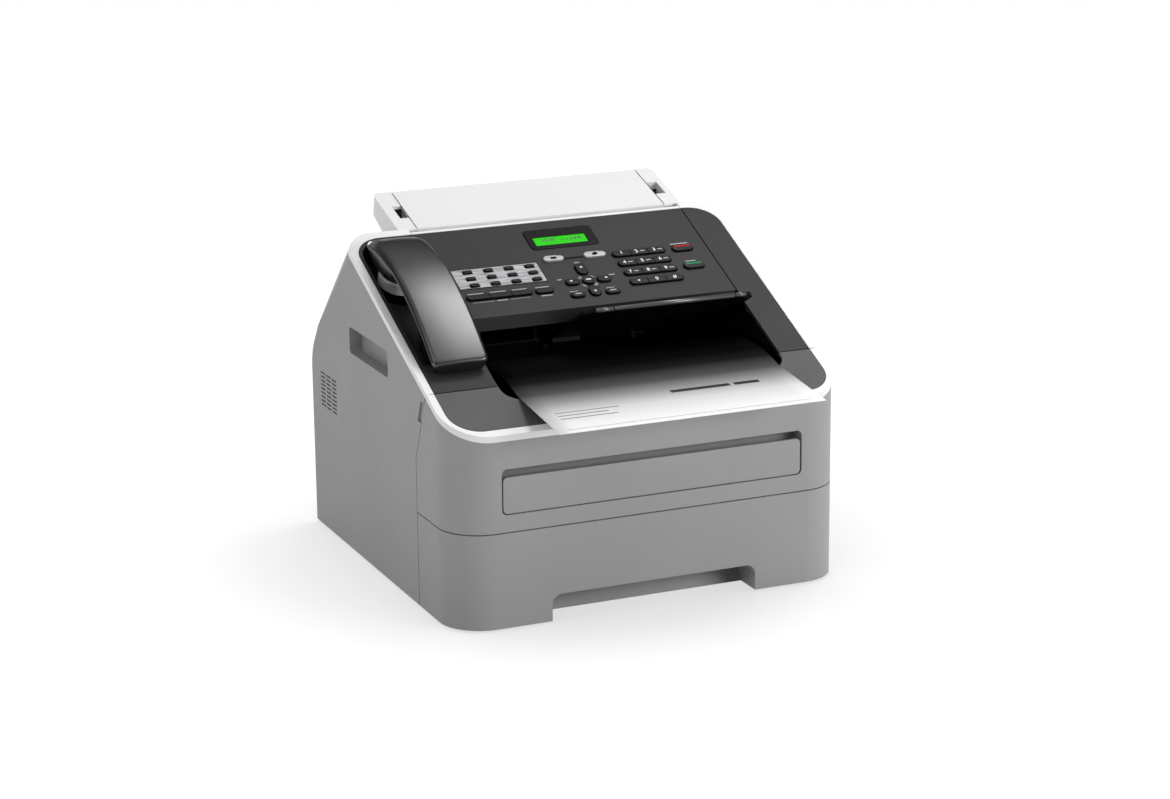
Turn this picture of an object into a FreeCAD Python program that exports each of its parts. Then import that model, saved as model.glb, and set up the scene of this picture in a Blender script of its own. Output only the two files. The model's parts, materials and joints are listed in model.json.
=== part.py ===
"""A desktop laser fax machine with a handset, a paper tray and a document feeder.

Frame: origin on the surface under the middle of the machine, +Z up, front towards -Y, millimetres.
The sloping control face has its own frame: x across, u up the slope, n out of the face.
"""

import FreeCAD, Part

import math
import os

from FreeCAD import Placement, Rotation, Vector

doc = FreeCAD.newDocument("fax_machine")

# Driving dimensions

sheet = doc.addObject("Spreadsheet::Sheet", "Sizes")
DIMENSIONS = {
    # casing
    "width": 368.0, "depth": 360.0, "foot_height": 2.0, "wall": 3.0, "gap": 0.5,
    "front_height": 171.2, "panel_slope": 24.5, "ridge_back": 86.5, "rear_height": 165.0,
    "rear_round": 45.0, "corner_radius": 38.0, "shoulder_radius": 33.0,
    "seam_height": 85.6, "door_back": 94.0, "door_bend": 133.0, "door_top_back": 121.0,
    "cover_seam": 123.3, "side_return": 13.0, "tray_gap": 1.0, "door_gap": 1.0,
    "rim_width": 6.5, "rim_height": 5.0, "rim_inner_round": 27.0,
    # output bay and control panel
    "bay_left": 119.5, "bay_right": 147.0, "panel_front": 38.5, "panel_back_u": 86.6,
    "panel_drop": 11.0, "panel_skin": 3.0, "barrel_radius": 4.0, "barrel_u": 88.7,
    "bay_notch": 142.0, "bay_notch_round": 18.0, "bay_floor_drop": 10.5,
    "bay_floor_fall": 48.5, "bay_back": 80.0, "bay_wall": 2.5,
    # keys
    "key_rise": 2.2, "key_root": 4.5, "key_gap": 0.4, "key_travel": 1.5, "key_edge": 0.8,
    # handset
    "handset_side": 11.0, "handset_inner": 2.5, "handset_arc": 215.0, "handset_crown": 28.0,
    "handset_mid_u": -30.0, "handset_top_u": 78.0, "handset_low_u": -117.0,
    "handset_shell": 9.0, "handset_edge": 4.0, "handset_corner": 4.6, "handset_end": 9.0,
    "ear_u": 40.0, "ear_inset": 5.05, "well_depth": 26.0,
    # document feeder
    "feeder_left": 128.5, "feeder_right": 152.5, "feeder_back": 156.5, "feeder_rise": 22.4,
    "feeder_step": 1.85, "plate_left": 110.0, "plate_right": 135.5, "plate_thick": 3.0,
    # front cover and tray
    "slot_half": 140.5, "slot_low": 101.5, "slot_high": 141.5, "slot_depth": 14.0,
    "flap_top": 134.0, "pull_half": 96.0, "pull_height": 25.5, "pull_depth": 38.0,
    "tray_half": 148.0, "tray_rear_room": 32.0, "tray_side": 60.0,
    # exit flap
    "flap_left": 19.5, "flap_right": 146.0, "flap_slope": 28.0, "flap_length": 100.0,
    "flap_axis_y": 8.0, "flap_axis_drop": 57.8, "flap_thick": 3.0,
    # frame and engine
    "frame_wall": 4.0, "deck_low": 87.0, "deck_thick": 3.0,
    # delivered sheet
    "paper_left": 108.0, "paper_right": 138.0, "paper_overhang": 48.0, "paper_thick": 0.3,
}
for row, (alias, value) in enumerate(DIMENSIONS.items(), start=1):
    sheet.set(f"A{row}", alias)
    sheet.set(f"B{row}", str(value))
    sheet.setAlias(f"B{row}", alias)
doc.recompute()


class Size:
    """A number that remembers the sheet cells it comes from, so it can drive an expression."""

    def __init__(self, value, text):
        self.value = float(value)
        self.text = text

    def __float__(self):
        return self.value

    def __neg__(self):
        return Size(-self.value, f"(-{self.text})")

    def __add__(self, other):
        other = as_size(other)
        return Size(self.value + other.value, f"({self.text} + {other.text})")

    def __sub__(self, other):
        other = as_size(other)
        return Size(self.value - other.value, f"({self.text} - {other.text})")

    def __mul__(self, other):
        other = as_size(other)
        return Size(self.value * other.value, f"({self.text} * {other.text})")

    def __truediv__(self, other):
        other = as_size(other)
        return Size(self.value / other.value, f"({self.text} / {other.text})")

    __radd__ = __add__
    __rmul__ = __mul__

    def __rsub__(self, other):
        return as_size(other) - self


def as_size(number):
    return number if isinstance(number, Size) else Size(number, f"({float(number)!r})")


def cell(alias):
    return Size(sheet.get(alias), f"Sizes.{alias}")


def sine(angle):
    return Size(math.sin(math.radians(angle.value)), f"sin({angle.text} * 1 deg)")


def cosine(angle):
    return Size(math.cos(math.radians(angle.value)), f"cos({angle.text} * 1 deg)")


def bind(thing, name, size):
    size = as_size(size)
    thing.setExpression(name, size.text)


# Helpers that make objects whose sizes follow the sheet

import Sketcher

ACROSS = Vector(1, 0, 0)
slope = cell("panel_slope")
rise = sine(slope)
run = cosine(slope)
half_width = cell("width") / 2
half_depth = cell("depth") / 2
wall = cell("wall")
gap = cell("gap")
foot = cell("foot_height")
panel_zero = cell("front_height") + half_depth * rise / run


def place(thing, x=0.0, y=0.0, z=0.0, axis=None, angle=None):
    if axis is not None:
        thing.Placement = Placement(Vector(0, 0, 0), Rotation(axis, float(as_size(angle))))
        bind(thing, "Placement.Rotation.Angle", angle)
    bind(thing, "Placement.Base.x", x)
    bind(thing, "Placement.Base.y", y)
    bind(thing, "Placement.Base.z", z)
    return thing


def on_panel(thing, x=0.0, u=0.0, n=0.0):
    u = as_size(u)
    n = as_size(n)
    return place(thing, x, u * run - n * rise, panel_zero + u * rise + n * run, ACROSS, slope)


def block(name, x, y, z):
    thing = doc.addObject("Part::Box", name)
    for side, (low, high) in zip(("Length", "Width", "Height"), (x, y, z)):
        bind(thing, side, as_size(high) - as_size(low))
    return place(thing, x[0], y[0], z[0])


def panel_block(name, x, u, n):
    thing = block(name, x, u, n)
    return on_panel(thing, x[0], u[0], n[0])


def rod(name, radius, x, y, z):
    thing = doc.addObject("Part::Cylinder", name)
    bind(thing, "Radius", radius)
    bind(thing, "Height", as_size(x[1]) - as_size(x[0]))
    return place(thing, x[0], y, z, Vector(0, 1, 0), as_size(90.0))


def post(name, radius, x, y, z):
    thing = doc.addObject("Part::Cylinder", name)
    bind(thing, "Radius", radius)
    bind(thing, "Height", as_size(z[1]) - as_size(z[0]))
    return place(thing, x, y, z[0])


def panel_post(name, radius, x, u, n):
    thing = post(name, radius, x, u, n)
    return on_panel(thing, x, u, n[0])


def fuse(name, *things):
    thing = doc.addObject("Part::MultiFuse", name)
    thing.Shapes = list(things)
    return thing


def cut(name, base, *tools):
    thing = doc.addObject("Part::Cut", name)
    thing.Base = base
    thing.Tool = tools[0] if len(tools) == 1 else fuse(name + "_tools", *tools)
    return thing


def common(name, *things):
    thing = doc.addObject("Part::MultiCommon", name)
    thing.Shapes = list(things)
    return thing


def shape_of(name, solid):
    thing = doc.addObject("Part::Feature", name)
    thing.Shape = solid
    return thing


def outline(body, name, plane, points, low):
    """A sketch of straight sides whose corners are tied to the sheet."""
    sketch = body.newObject("Sketcher::SketchObject", name + "_outline")
    base = [item for item in body.Origin.OriginFeatures if item.Role == plane][0]
    sketch.AttachmentSupport = [(base, "")]
    sketch.MapMode = "FlatFace"
    points = [(as_size(a), as_size(b)) for a, b in points]
    corners = [Vector(float(a), float(b), 0) for a, b in points]
    count = len(corners)
    for i in range(count):
        sketch.addGeometry(Part.LineSegment(corners[i], corners[(i + 1) % count]), False)
    for i in range(count):
        sketch.addConstraint(Sketcher.Constraint("Coincident", i, 2, (i + 1) % count, 1))
    for i, (a, b) in enumerate(points):
        for kind, size in (("DistanceX", a), ("DistanceY", b)):
            number = sketch.addConstraint(Sketcher.Constraint(kind, -1, 1, i, 1, float(size)))
            sketch.setExpression(f"Constraints[{number}]", size.text)
    bind(sketch, "AttachmentOffset.Base.z", low)
    return sketch


def pad(name, plane, points, low, high):
    """A body padded from a straight-sided outline between two distances along its plane's normal."""
    low = as_size(low)
    high = as_size(high)
    body = doc.addObject("PartDesign::Body", name)
    sketch = outline(body, name, plane, points, low)
    feature = body.newObject("PartDesign::Pad", name + "_pad")
    feature.Profile = sketch
    bind(feature, "Length", high - low)
    doc.recompute()
    return body


def fillet(body, radius, choose):
    """Round those edges of a body's last feature that the given test picks."""
    tip = body.Tip
    names = [f"Edge{i}" for i, edge in enumerate(tip.Shape.Edges, start=1) if choose(edge)]
    feature = body.newObject("PartDesign::Fillet", body.Name + f"_round_{len(body.Group)}")
    feature.Base = (tip, names)
    bind(feature, "Radius", radius)
    doc.recompute()
    return body


def runs_along(edge, axis):
    if not isinstance(edge.Curve, Part.Line):
        return False
    way = edge.tangentAt(edge.FirstParameter)
    return abs(abs(way.dot(axis)) - 1.0) < 1e-6


def lies_at(edge, axis, value):
    """True when the whole edge sits at one coordinate along an axis."""
    span = [point.dot(axis) for point in edge.discretize(5)]
    return max(abs(item - float(value)) for item in span) < 1e-4


def rounded_block(name, x, y, z, radius, edge_radius=None, plane="XY_Plane"):
    """A block with round upright corners and, if asked, a softened upper edge."""
    points = [(x[0], y[0]), (x[1], y[0]), (x[1], y[1]), (x[0], y[1])]
    body = pad(name, plane, points, z[0], z[1])
    up = Vector(0, 0, 1) if plane == "XY_Plane" else Vector(0, -1, 0)
    fillet(body, radius, lambda edge: runs_along(edge, up))
    if edge_radius is not None:
        fillet(body, edge_radius, lambda edge: lies_at(edge, up, as_size(z[1])))
    return body


# Casing envelope: side profile drawn across the width, round front corners, tapering rear shoulders

def panel_point(x, u, n=0.0):
    y = u * float(run) - n * float(rise)
    z = float(panel_zero) + u * float(rise) + n * float(run)
    return Vector(x, y, z)


def envelope(inset):
    ridge = float(cell("ridge_back"))
    front = -float(half_depth)
    back = float(half_depth)
    ridge_height = float(panel_zero) + ridge * float(rise / run)
    side = float(half_width) - inset
    corners = [
        (front, float(foot)), (front, float(cell("front_height"))), (ridge, ridge_height),
        (back, float(cell("rear_height"))), (back, float(foot)),
    ]
    points = [Vector(-side, y, z) for y, z in corners]
    face = Part.Face(Part.makePolygon(points + [points[0]]))
    if inset > 0.0:
        face = face.makeOffset2D(-inset, 2)
    solid = face.extrude(Vector(2 * side, 0, 0))
    upright = [
        edge for edge in solid.Edges
        if runs_along(edge, Vector(0, 0, 1)) and lies_at(edge, Vector(0, 1, 0), front + inset)
    ]
    solid = solid.makeFillet(float(cell("corner_radius")) - inset, upright)
    bend = [
        edge for edge in solid.Edges
        if runs_along(edge, ACROSS) and lies_at(edge, Vector(0, 1, 0), back - inset)
        and edge.CenterOfMass.z > 100.0
    ]
    solid = solid.makeFillet(float(cell("rear_round")) - inset, bend)
    # The shoulder is a cone that narrows to nothing at the foot of the rear slope
    radius = float(cell("shoulder_radius")) - inset
    rim_u = (ridge / float(run)) - inset
    apex_y = back - 22.0
    apex_z = float(cell("rear_height")) + 22.0 * (ridge_height - float(cell("rear_height"))) / (back - ridge)
    out = 12.0
    for way in (-1.0, 1.0):
        edge_x = way * side
        centre = panel_point(edge_x - way * radius, rim_u - radius, 6.0)
        first = panel_point(edge_x, rim_u - radius, 6.0)
        last = panel_point(edge_x - way * radius, rim_u, 6.0)
        middle_x = edge_x - way * radius * (1.0 - math.sqrt(0.5))
        middle = panel_point(middle_x, rim_u - radius * (1.0 - math.sqrt(0.5)), 6.0)
        far = panel_point(edge_x + way * out, rim_u + out, 6.0)
        first_out = panel_point(edge_x + way * out, rim_u - radius, 6.0)
        last_out = panel_point(edge_x - way * radius, rim_u + out, 6.0)
        wire = Part.Wire([
            Part.LineSegment(first, first_out).toShape(), Part.LineSegment(first_out, far).toShape(),
            Part.LineSegment(far, last_out).toShape(), Part.LineSegment(last_out, last).toShape(),
            Part.Arc(last, middle, first).toShape(),
        ])
        apex = Part.Vertex(Vector(edge_x, apex_y, apex_z))
        solid = solid.cut(Part.makeLoft([wire, apex], True))
    return solid


casing = shape_of("casing", envelope(0.0))
cavity = shape_of("cavity", envelope(float(wall)))
shell = cut("shell", casing, cavity)

far = as_size(400.0)
rim_floor = -cell("rim_height")
above_rim = panel_block("above_rim", (-far, far), (-far, far), (rim_floor, far))
body_shell = cut("body_shell", shell, above_rim)

# Regions that share the casing out between its pieces

door_low = -cell("door_back")
door_top = -cell("door_top_back")
door_height = panel_zero - cell("cover_seam") * rise / run


def door_region(name, shift):
    points = [
        (door_low + shift, -far), (door_low + shift, cell("door_bend")),
        (door_top + shift, door_height), (door_top + shift, far),
        (-far, far), (-far, -far),
    ]
    return pad(name, "YZ_Plane", points, -far, far)


def door_line(z):
    """Place of the leaning part of the door line at a height."""
    share = (as_size(z) - cell("door_bend")) / (door_height - cell("door_bend"))
    return door_low + (door_top - door_low) * share


door_side = door_region("door_side", as_size(0.0))
body_side = door_region("body_side", cell("door_gap"))
seam = cell("seam_height")
over_seam = block("over_seam", (-far, far), (-far, far), (seam + cell("tray_gap"), far))
under_seam = block("under_seam", (-far, far), (-far, far), (-far, seam))

nodes = {}

# Side covers with hand grips and air slots

side_inner = half_width - cell("side_return")
rear_part = cut("rear_part", body_shell, body_side)
for name, way in (("left_side_cover", -1), ("right_side_cover", 1)):
    ends = (-far, -side_inner) if way < 0 else (side_inner, far)
    strip = block(name + "_strip", ends, (-far, far), (-far, far))
    plate = common(name + "_plate", rear_part, strip)
    inner = (half_width - 12.0) * way
    outer = (half_width + 5.0) * way
    skin = (half_width - 12.0 - wall) * way
    low_high = (inner, outer) if way > 0 else (outer, inner)
    liner_ends = (skin, half_width * way) if way > 0 else (half_width * way, skin)
    grip = [(-28.5, 189.0), (71.0, 189.0), (71.0, 213.0), (-28.5, 213.0)]
    liner = [(-31.5, 186.0), (74.0, 186.0), (74.0, 216.0), (-31.5, 216.0)]
    hollow = pad(name + "_grip", "YZ_Plane", grip, low_high[0], low_high[1])
    fillet(hollow, as_size(4.0), lambda edge: runs_along(edge, ACROSS))
    lining = pad(name + "_lining", "YZ_Plane", liner, liner_ends[0], liner_ends[1])
    slots = []
    for row in range(9):
        for column in range(3):
            y = 112.0 + 15.5 * column
            z = 120.0 + 3.8 * row
            reach = (half_width * way - 8.0, half_width * way + 8.0)
            slots.append(block(f"{name}_slot_{row}_{column}", reach, (y, y + 12.5), (z, z + 1.6)))
    joined = fuse(name + "_joined", plate, lining)
    notch_ends = (half_width - 1.8, half_width + 5.0) if way > 0 else (-half_width - 5.0, 1.8 - half_width)
    finger = [
        (door_line(169.0) - 1.0, 169.0), (door_line(169.0) + 9.0, 169.0),
        (door_line(188.0) + 9.0, 188.0), (door_line(188.0) - 1.0, 188.0),
    ]
    finger_notch = pad(name + "_finger", "YZ_Plane", finger, notch_ends[0], notch_ends[1])
    nodes[name] = cut(name, joined, hollow, finger_notch, *slots)

# Rear housing with the sloping back, a door opening and socket openings

rear_zone = block(
    "rear_zone", (-side_inner + gap, side_inner - gap), (cell("ridge_back") - 2.5, half_depth + 1.0),
    (6.5, far),
)
barrel_zone = panel_block(
    "barrel_zone", (-cell("bay_left") - 2.5, cell("bay_right") + 2.0), (60.0, 140.0), (-10.0, far),
)
back_out = half_depth + 10.0
back_in = half_depth - 10.0
inlet_x = -side_inner + 13.0
jack_x = side_inner - 49.0
rear_door_half = side_inner - 59.0
rear_door = ((-rear_door_half, rear_door_half), (30.0, 140.0))
rear_hole = block("rear_hole", rear_door[0], (back_in, back_out), rear_door[1])
mains_hole = block("mains_hole", (inlet_x, inlet_x + 28.0), (back_in, back_out), (32.0, 54.0))
jack_hole = block("jack_hole", (jack_x, jack_x + 36.0), (back_in, back_out), (32.0, 50.0))
rear_blank = common("rear_blank", rear_part, rear_zone)
nodes["rear_housing"] = cut("rear_housing", rear_blank, barrel_zone, rear_hole, mains_hole, jack_hole)

rear_cover = rounded_block(
    "rear_cover", (-rear_door_half + gap, rear_door_half - gap), (30.6, 139.4),
    (-half_depth, wall - half_depth),
    as_size(3.0), None, "XZ_Plane",
)
nodes["rear_cover"] = rear_cover

mains_inlet = cut(
    "mains_inlet",
    block(
        "mains_inlet_block", (inlet_x + gap, inlet_x + 28.0 - gap), (half_depth - 25.0, half_depth),
        (32.5, 53.5),
    ),
    block("mains_inlet_well", (inlet_x + 3.0, inlet_x + 25.0), (half_depth - 20.0, back_out), (35.0, 51.0)),
)
jack_block = block(
    "jack_block", (jack_x + gap, jack_x + 36.0 - gap), (half_depth - 20.0, half_depth), (32.5, 49.5),
)
line_jacks = cut(
    "line_jacks", jack_block,
    block("jack_one", (jack_x + 2.5, jack_x + 16.0), (half_depth - 14.0, back_out), (34.5, 47.5)),
    block("jack_two", (jack_x + 20.0, jack_x + 33.5), (half_depth - 14.0, back_out), (34.5, 47.5)),
)
nodes["rear_sockets"] = doc.addObject("Part::Compound", "rear_sockets")
nodes["rear_sockets"].Links = [mains_inlet, line_jacks]

# White rim around the sloping face

rim_x = half_width - cell("rim_width")
rim_front_u = -((half_depth - cell("rim_width")) / run) + 0.5
rim_back_u = cell("panel_back_u")


def inner_prism(name, shrink, low, high):
    x = rim_x - shrink
    points = [
        (-x, rim_front_u + shrink), (x, rim_front_u + shrink),
        (x, rim_back_u - shrink), (-x, rim_back_u - shrink),
    ]
    body = pad(name, "XY_Plane", points, low, high)
    fillet(body, cell("rim_inner_round"), lambda edge: runs_along(edge, Vector(0, 0, 1)))
    return on_panel(body)


rim_hole = inner_prism("rim_hole", as_size(0.0), -40.0, 40.0)
rim_slab = common("rim_slab", casing, above_rim)
rim_ring = cut("rim_ring", rim_slab, rim_hole)
seam_u = -cell("cover_seam") / run
bay_left = -cell("bay_left")
bay_right = cell("bay_right")
behind_seam = panel_block("behind_seam", (-far, far), (seam_u + gap / 2, far), (-far, far))
before_seam = panel_block("before_seam", (-far, far), (-far, seam_u - gap / 2), (-far, far))
left_of_panel = block("left_of_panel", (-far, bay_left - 0.3), (-far, far), (-far, far))
right_of_panel = block("right_of_panel", (bay_right + 0.3, far), (-far, far), (-far, far))
nodes["side_rims"] = doc.addObject("Part::Compound", "side_rims")
nodes["side_rims"].Links = [
    common("left_rim", rim_ring, behind_seam, left_of_panel),
    common("right_rim", rim_ring, behind_seam, right_of_panel),
]
nodes["front_rim"] = common("front_rim", rim_ring, before_seam)

# Handset cradle with its scooped well and the seat ring for the earpiece

inset_prism = inner_prism("inset_prism", as_size(0.5), -wall, 0.0)
cradle_plate = common("cradle_plate", inset_prism, behind_seam, left_of_panel)
well_depth = cell("well_depth")
well_back = as_size(81.5)
well_points = [(well_back, 5.0), (well_back, -well_depth), (18.0, -well_depth), (-82.0, -13.5), (-103.0, 5.0)]
cup_points = [
    (well_back + 2.5, 0.0), (well_back + 2.5, -well_depth - 2.5), (16.0, -well_depth - 2.5),
    (-84.0, -16.0), (-106.0, -1.0), (-106.0, 0.0),
]
well = pad("well", "YZ_Plane", well_points, 3.5 - rim_x, bay_left - 1.8)
cup = pad("cup", "YZ_Plane", cup_points, 1.3 - rim_x, bay_left - 0.4)
for piece, reach in ((well, 22.0), (cup, 24.0)):
    fillet(
        piece, as_size(reach),
        lambda edge: runs_along(edge, Vector(0, 0, 1)) and edge.CenterOfMass.y > 70.0
        and edge.CenterOfMass.x < 30.0 - float(rim_x),
    )
    on_panel(piece)
handset_left = cell("handset_side") - rim_x
handset_right = bay_left - cell("handset_inner")
hook_x = (handset_left + handset_right) / 2
hook_hole = panel_post("hook_hole", 3.4, hook_x, -66.0, (-40.0, 10.0))
cradle_full = fuse("cradle_full", cradle_plate, cup)
nodes["handset_cradle"] = cut("handset_cradle", cradle_full, well, hook_hole)

ear_u = cell("ear_u")
ear_radius = (handset_right - handset_left) / 2 - cell("ear_inset")
nodes["earpiece_seat"] = cut(
    "earpiece_seat",
    panel_post("seat_outer", ear_radius + 3.5, hook_x, ear_u, (-well_depth, -11.0)),
    panel_post("seat_inner", ear_radius + 0.8, hook_x, ear_u, (-well_depth - 1.0, -10.0)),
)
nodes["hook_switch"] = panel_post("hook_switch", 3.0, hook_x, -66.0, (-24.0, -11.0))

# Handset: an arched upper shell over a lower shell with ear and mouth pieces

arc_radius = cell("handset_arc")
arc_mid = cell("handset_mid_u")
crown = cell("handset_crown")


def arch(u, drop):
    """Height of the handset's arch above the face, a given depth below its crown line."""
    radius = float(arc_radius) - drop
    return float(crown) - float(arc_radius) + math.sqrt(radius * radius - (u - float(arc_mid)) ** 2)


top_u = float(cell("handset_top_u"))
low_u = float(cell("handset_low_u"))
hand_left = float(handset_left)
hand_right = float(handset_right)
shell_drop = float(cell("handset_shell"))


def arc_between(x, u_first, u_last, drop):
    middle = 0.5 * (u_first + u_last)
    return Part.Arc(
        Vector(x, u_first, arch(u_first, drop)), Vector(x, middle, arch(middle, drop)),
        Vector(x, u_last, arch(u_last, drop)),
    ).toShape()


def line_between(x, first, last):
    return Part.LineSegment(Vector(x, *first), Vector(x, *last)).toShape()


upper_edges = [
    arc_between(hand_left, low_u, top_u, 0.0),
    line_between(hand_left, (top_u, arch(top_u, 0.0)), (top_u - 4.0, arch(top_u - 4.0, shell_drop))),
    arc_between(hand_left, top_u - 4.0, low_u + 4.0, shell_drop),
    line_between(hand_left, (low_u + 4.0, arch(low_u + 4.0, shell_drop)), (low_u, arch(low_u, 0.0))),
]
upper_solid = Part.Face(Part.Wire(upper_edges)).extrude(Vector(hand_right - hand_left, 0, 0))


end_edges = [
    edge for edge in upper_solid.Edges
    if isinstance(edge.Curve, Part.Line) and not runs_along(edge, ACROSS)
]
mouth_edges = [edge for edge in end_edges if edge.CenterOfMass.y < 0.0]
upper_solid = upper_solid.makeFillet(float(cell("handset_corner")), mouth_edges)
hand_mid = 0.5 * (hand_left + hand_right)
ear_edges = [
    edge for edge in upper_solid.Edges
    if abs(edge.CenterOfMass.y - top_u + 2.0) < 0.5 and abs(edge.CenterOfMass.x - hand_mid) > 1.0
]
upper_solid = upper_solid.makeFillet(float(cell("handset_end")), ear_edges)
crown_face = max(upper_solid.Faces, key=lambda face: face.CenterOfMass.z)
upper_solid = upper_solid.makeFillet(float(cell("handset_edge")), crown_face.Edges)
nodes["handset_upper"] = on_panel(shape_of("handset_upper", upper_solid))

lower_inset = 2.5
lower_left = hand_left + lower_inset
lower_edges = [arc_between(lower_left, low_u + 5.0, top_u - 5.0, shell_drop)]
lower_points = [
    (top_u - 5.0, arch(top_u - 5.0, shell_drop)), (top_u - 9.0, -9.5), (20.5, -9.5), (13.0, 6.0),
    (-30.0, 12.0), (-58.0, 6.0), (-66.0, -10.5), (-80.0, -11.0), (-97.0, 2.0),
    (low_u + 5.0, arch(low_u + 5.0, shell_drop)),
]
for first, last in zip(lower_points[:-1], lower_points[1:]):
    lower_edges.append(line_between(lower_left, first, last))
lower_wide = hand_right - hand_left - 2 * lower_inset
lower_solid = Part.Face(Part.Wire(lower_edges)).extrude(Vector(lower_wide, 0, 0))
lower_body = on_panel(shape_of("handset_lower_body", lower_solid))
ear_cup = panel_post("ear_cup", ear_radius, hook_x, ear_u, (-22.0, -8.0))
nodes["handset_lower"] = fuse("handset_lower", lower_body, ear_cup)

# Right hand trim panel and the top of the front cover

nodes["right_trim"] = common("right_trim", inset_prism, behind_seam, right_of_panel)
front_deck = common("front_deck_blank", inset_prism, before_seam)
notch_u = -cell("bay_notch") / run
notch = pad(
    "notch", "XY_Plane",
    [(bay_left, notch_u), (bay_right, notch_u), (bay_right, 0.0), (bay_left, 0.0)], -20.0, 20.0,
)
fillet(
    notch, cell("bay_notch_round"),
    lambda edge: runs_along(edge, Vector(0, 0, 1)) and edge.CenterOfMass.y < -100.0,
)
nodes["front_deck"] = cut("front_deck", front_deck, on_panel(notch))

# Front cover shell with the recess of the manual feed slot

slot_half = cell("slot_half")
slot_low = cell("slot_low")
slot_high = cell("slot_high")
slot_back = -half_depth + cell("slot_depth")
front_part = common("front_part", body_shell, door_side, over_seam)
slot_box = block(
    "slot_box", (-slot_half - wall, slot_half + wall), (-half_depth + 1.0, slot_back + wall),
    (slot_low - wall, slot_high + wall),
)
slot_well = rounded_block(
    "slot_well", (-slot_half, slot_half), (slot_low, slot_high), (-slot_back, half_depth + 5.0),
    as_size(5.0), None, "XZ_Plane",
)
feed_mouth = block("feed_mouth", (-112.0, 112.0), (slot_back - 4.0, slot_back + 16.0), (112.0, 120.0))
nodes["front_cover"] = cut(
    "front_cover", fuse("front_cover_full", front_part, slot_box), slot_well, feed_mouth,
)

flap_half = slot_half - gap * 3
manual_flap = rounded_block(
    "manual_feed_flap", (-flap_half, flap_half), (slot_low + 0.9, cell("flap_top")),
    (half_depth - wall - 0.6, half_depth - 0.6), as_size(4.0), None, "XZ_Plane",
)
nodes["manual_feed_flap"] = manual_flap

# Paper tray: wrapped front with a pull recess, box, lifting plate and guides

tray_half = cell("tray_half")
tray_back = half_depth - cell("tray_rear_room")
tray_top = cell("tray_side")
pull_half = cell("pull_half")
pull_height = cell("pull_height")
pull_back = -half_depth + cell("pull_depth")
tray_front = common("tray_front", body_shell, door_side, under_seam)
tray_box = block("tray_box", (-tray_half, tray_half), (-half_depth + 30.0, tray_back), (6.0, tray_top))
tray_hollow = block(
    "tray_hollow", (-tray_half + wall, tray_half - wall), (-half_depth + 45.0, tray_back - wall),
    (9.0, tray_top + 10.0),
)
tray_web = block(
    "tray_web", (-half_width + 1.0, half_width - 1.0), (door_low - 6.0, door_low - 3.0), (6.0, seam - 3.0),
)
tray_gate = block(
    "tray_gate", (-tray_half + wall, tray_half - wall), (door_low - 7.0, door_low - 2.0), (9.0, 90.0),
)
pull_box = block(
    "pull_box", (-pull_half - wall, pull_half + wall), (-half_depth + 1.0, pull_back + wall),
    (foot, pull_height + wall),
)
pull_profile = [
    (-half_depth - 5.0, -5.0), (pull_back - 14.0, -5.0), (pull_back, pull_height - 6.0),
    (pull_back, pull_height), (-half_depth - 5.0, pull_height),
]
pull_well = pad("pull_well", "YZ_Plane", pull_profile, -pull_half, pull_half)
fillet(
    pull_well, as_size(9.0),
    lambda edge: runs_along(edge, Vector(0, 1, 0)) and edge.CenterOfMass.z > 20.0,
)
tray_trim = pad(
    "tray_trim", "YZ_Plane",
    [(-200.0, -10.0), (-200.0, 100.0), (200.0, 100.0), (200.0, -10.0)], -far, far,
)
tray_full = fuse("tray_full", tray_front, tray_box, pull_box, cut("web", tray_web, tray_gate))
lift_half = tray_half - wall - 1.0
lift_axis = (20.0, 12.25)
lift_radius = as_size(2.0)
lift_bore = rod("lift_bore", lift_radius + 0.05, (-lift_half - 3.0, lift_half + 3.0), *lift_axis)
nodes["paper_tray"] = cut("paper_tray", tray_full, tray_hollow, pull_well, lift_bore)

nodes["lift_plate"] = fuse(
    "lift_plate",
    block("lift_sheet", (-lift_half, lift_half), (50.0 - half_depth, 20.0), (11.5, 13.0)),
    rod("lift_hinge", lift_radius, (-lift_half - 2.5, lift_half + 2.5), *lift_axis),
)
guide_blocks = []
for way in (-1, 1):
    ends = (lift_half - 16.0, lift_half - 13.0)
    ends = ends if way > 0 else (-ends[1], -ends[0])
    guide_blocks.append(block(f"guide_{way + 1}", ends, (30.0, 90.0), (9.0, 45.0)))
guide_blocks.append(block("guide_end", (-25.0, 25.0), (120.0, 124.0), (9.0, 45.0)))
nodes["paper_guides"] = doc.addObject("Part::Compound", "paper_guides")
nodes["paper_guides"].Links = guide_blocks

# Inner frame: side walls, deck over the tray, ledges for the tray to slide on

frame_half = side_inner - gap
frame_wall = cell("frame_wall")
frame_front = door_low + 6.0
frame_back = half_depth - 8.0
deck_low = cell("deck_low")
deck_top = deck_low + cell("deck_thick")
frame_parts = [block("deck", (-frame_half, frame_half), (door_low + 2.0, frame_back), (deck_low, deck_top))]
for way in (-1, 1):
    wall_x = (frame_half - frame_wall, frame_half) if way > 0 else (-frame_half, frame_wall - frame_half)
    ledge_x = (tray_half - 18.0, frame_half) if way > 0 else (-frame_half, 18.0 - tray_half)
    name = "right" if way > 0 else "left"
    frame_parts.append(block(name + "_frame_wall", wall_x, (frame_front, half_depth - 52.0), (2.5, 176.0)))
    frame_parts.append(block(name + "_ledge", ledge_x, (frame_front, frame_back), (2.5, 5.6)))
frame_parts.append(block("cross_brace", (17.0 - tray_half, tray_half - 17.0), (-8.0, 8.0), (2.5, 5.6)))
web_y = (tray_back + 2.5, tray_back + 5.5)
frame_parts.append(block("rear_web", (-frame_half, frame_half), web_y, (2.5, deck_top)))

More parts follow.
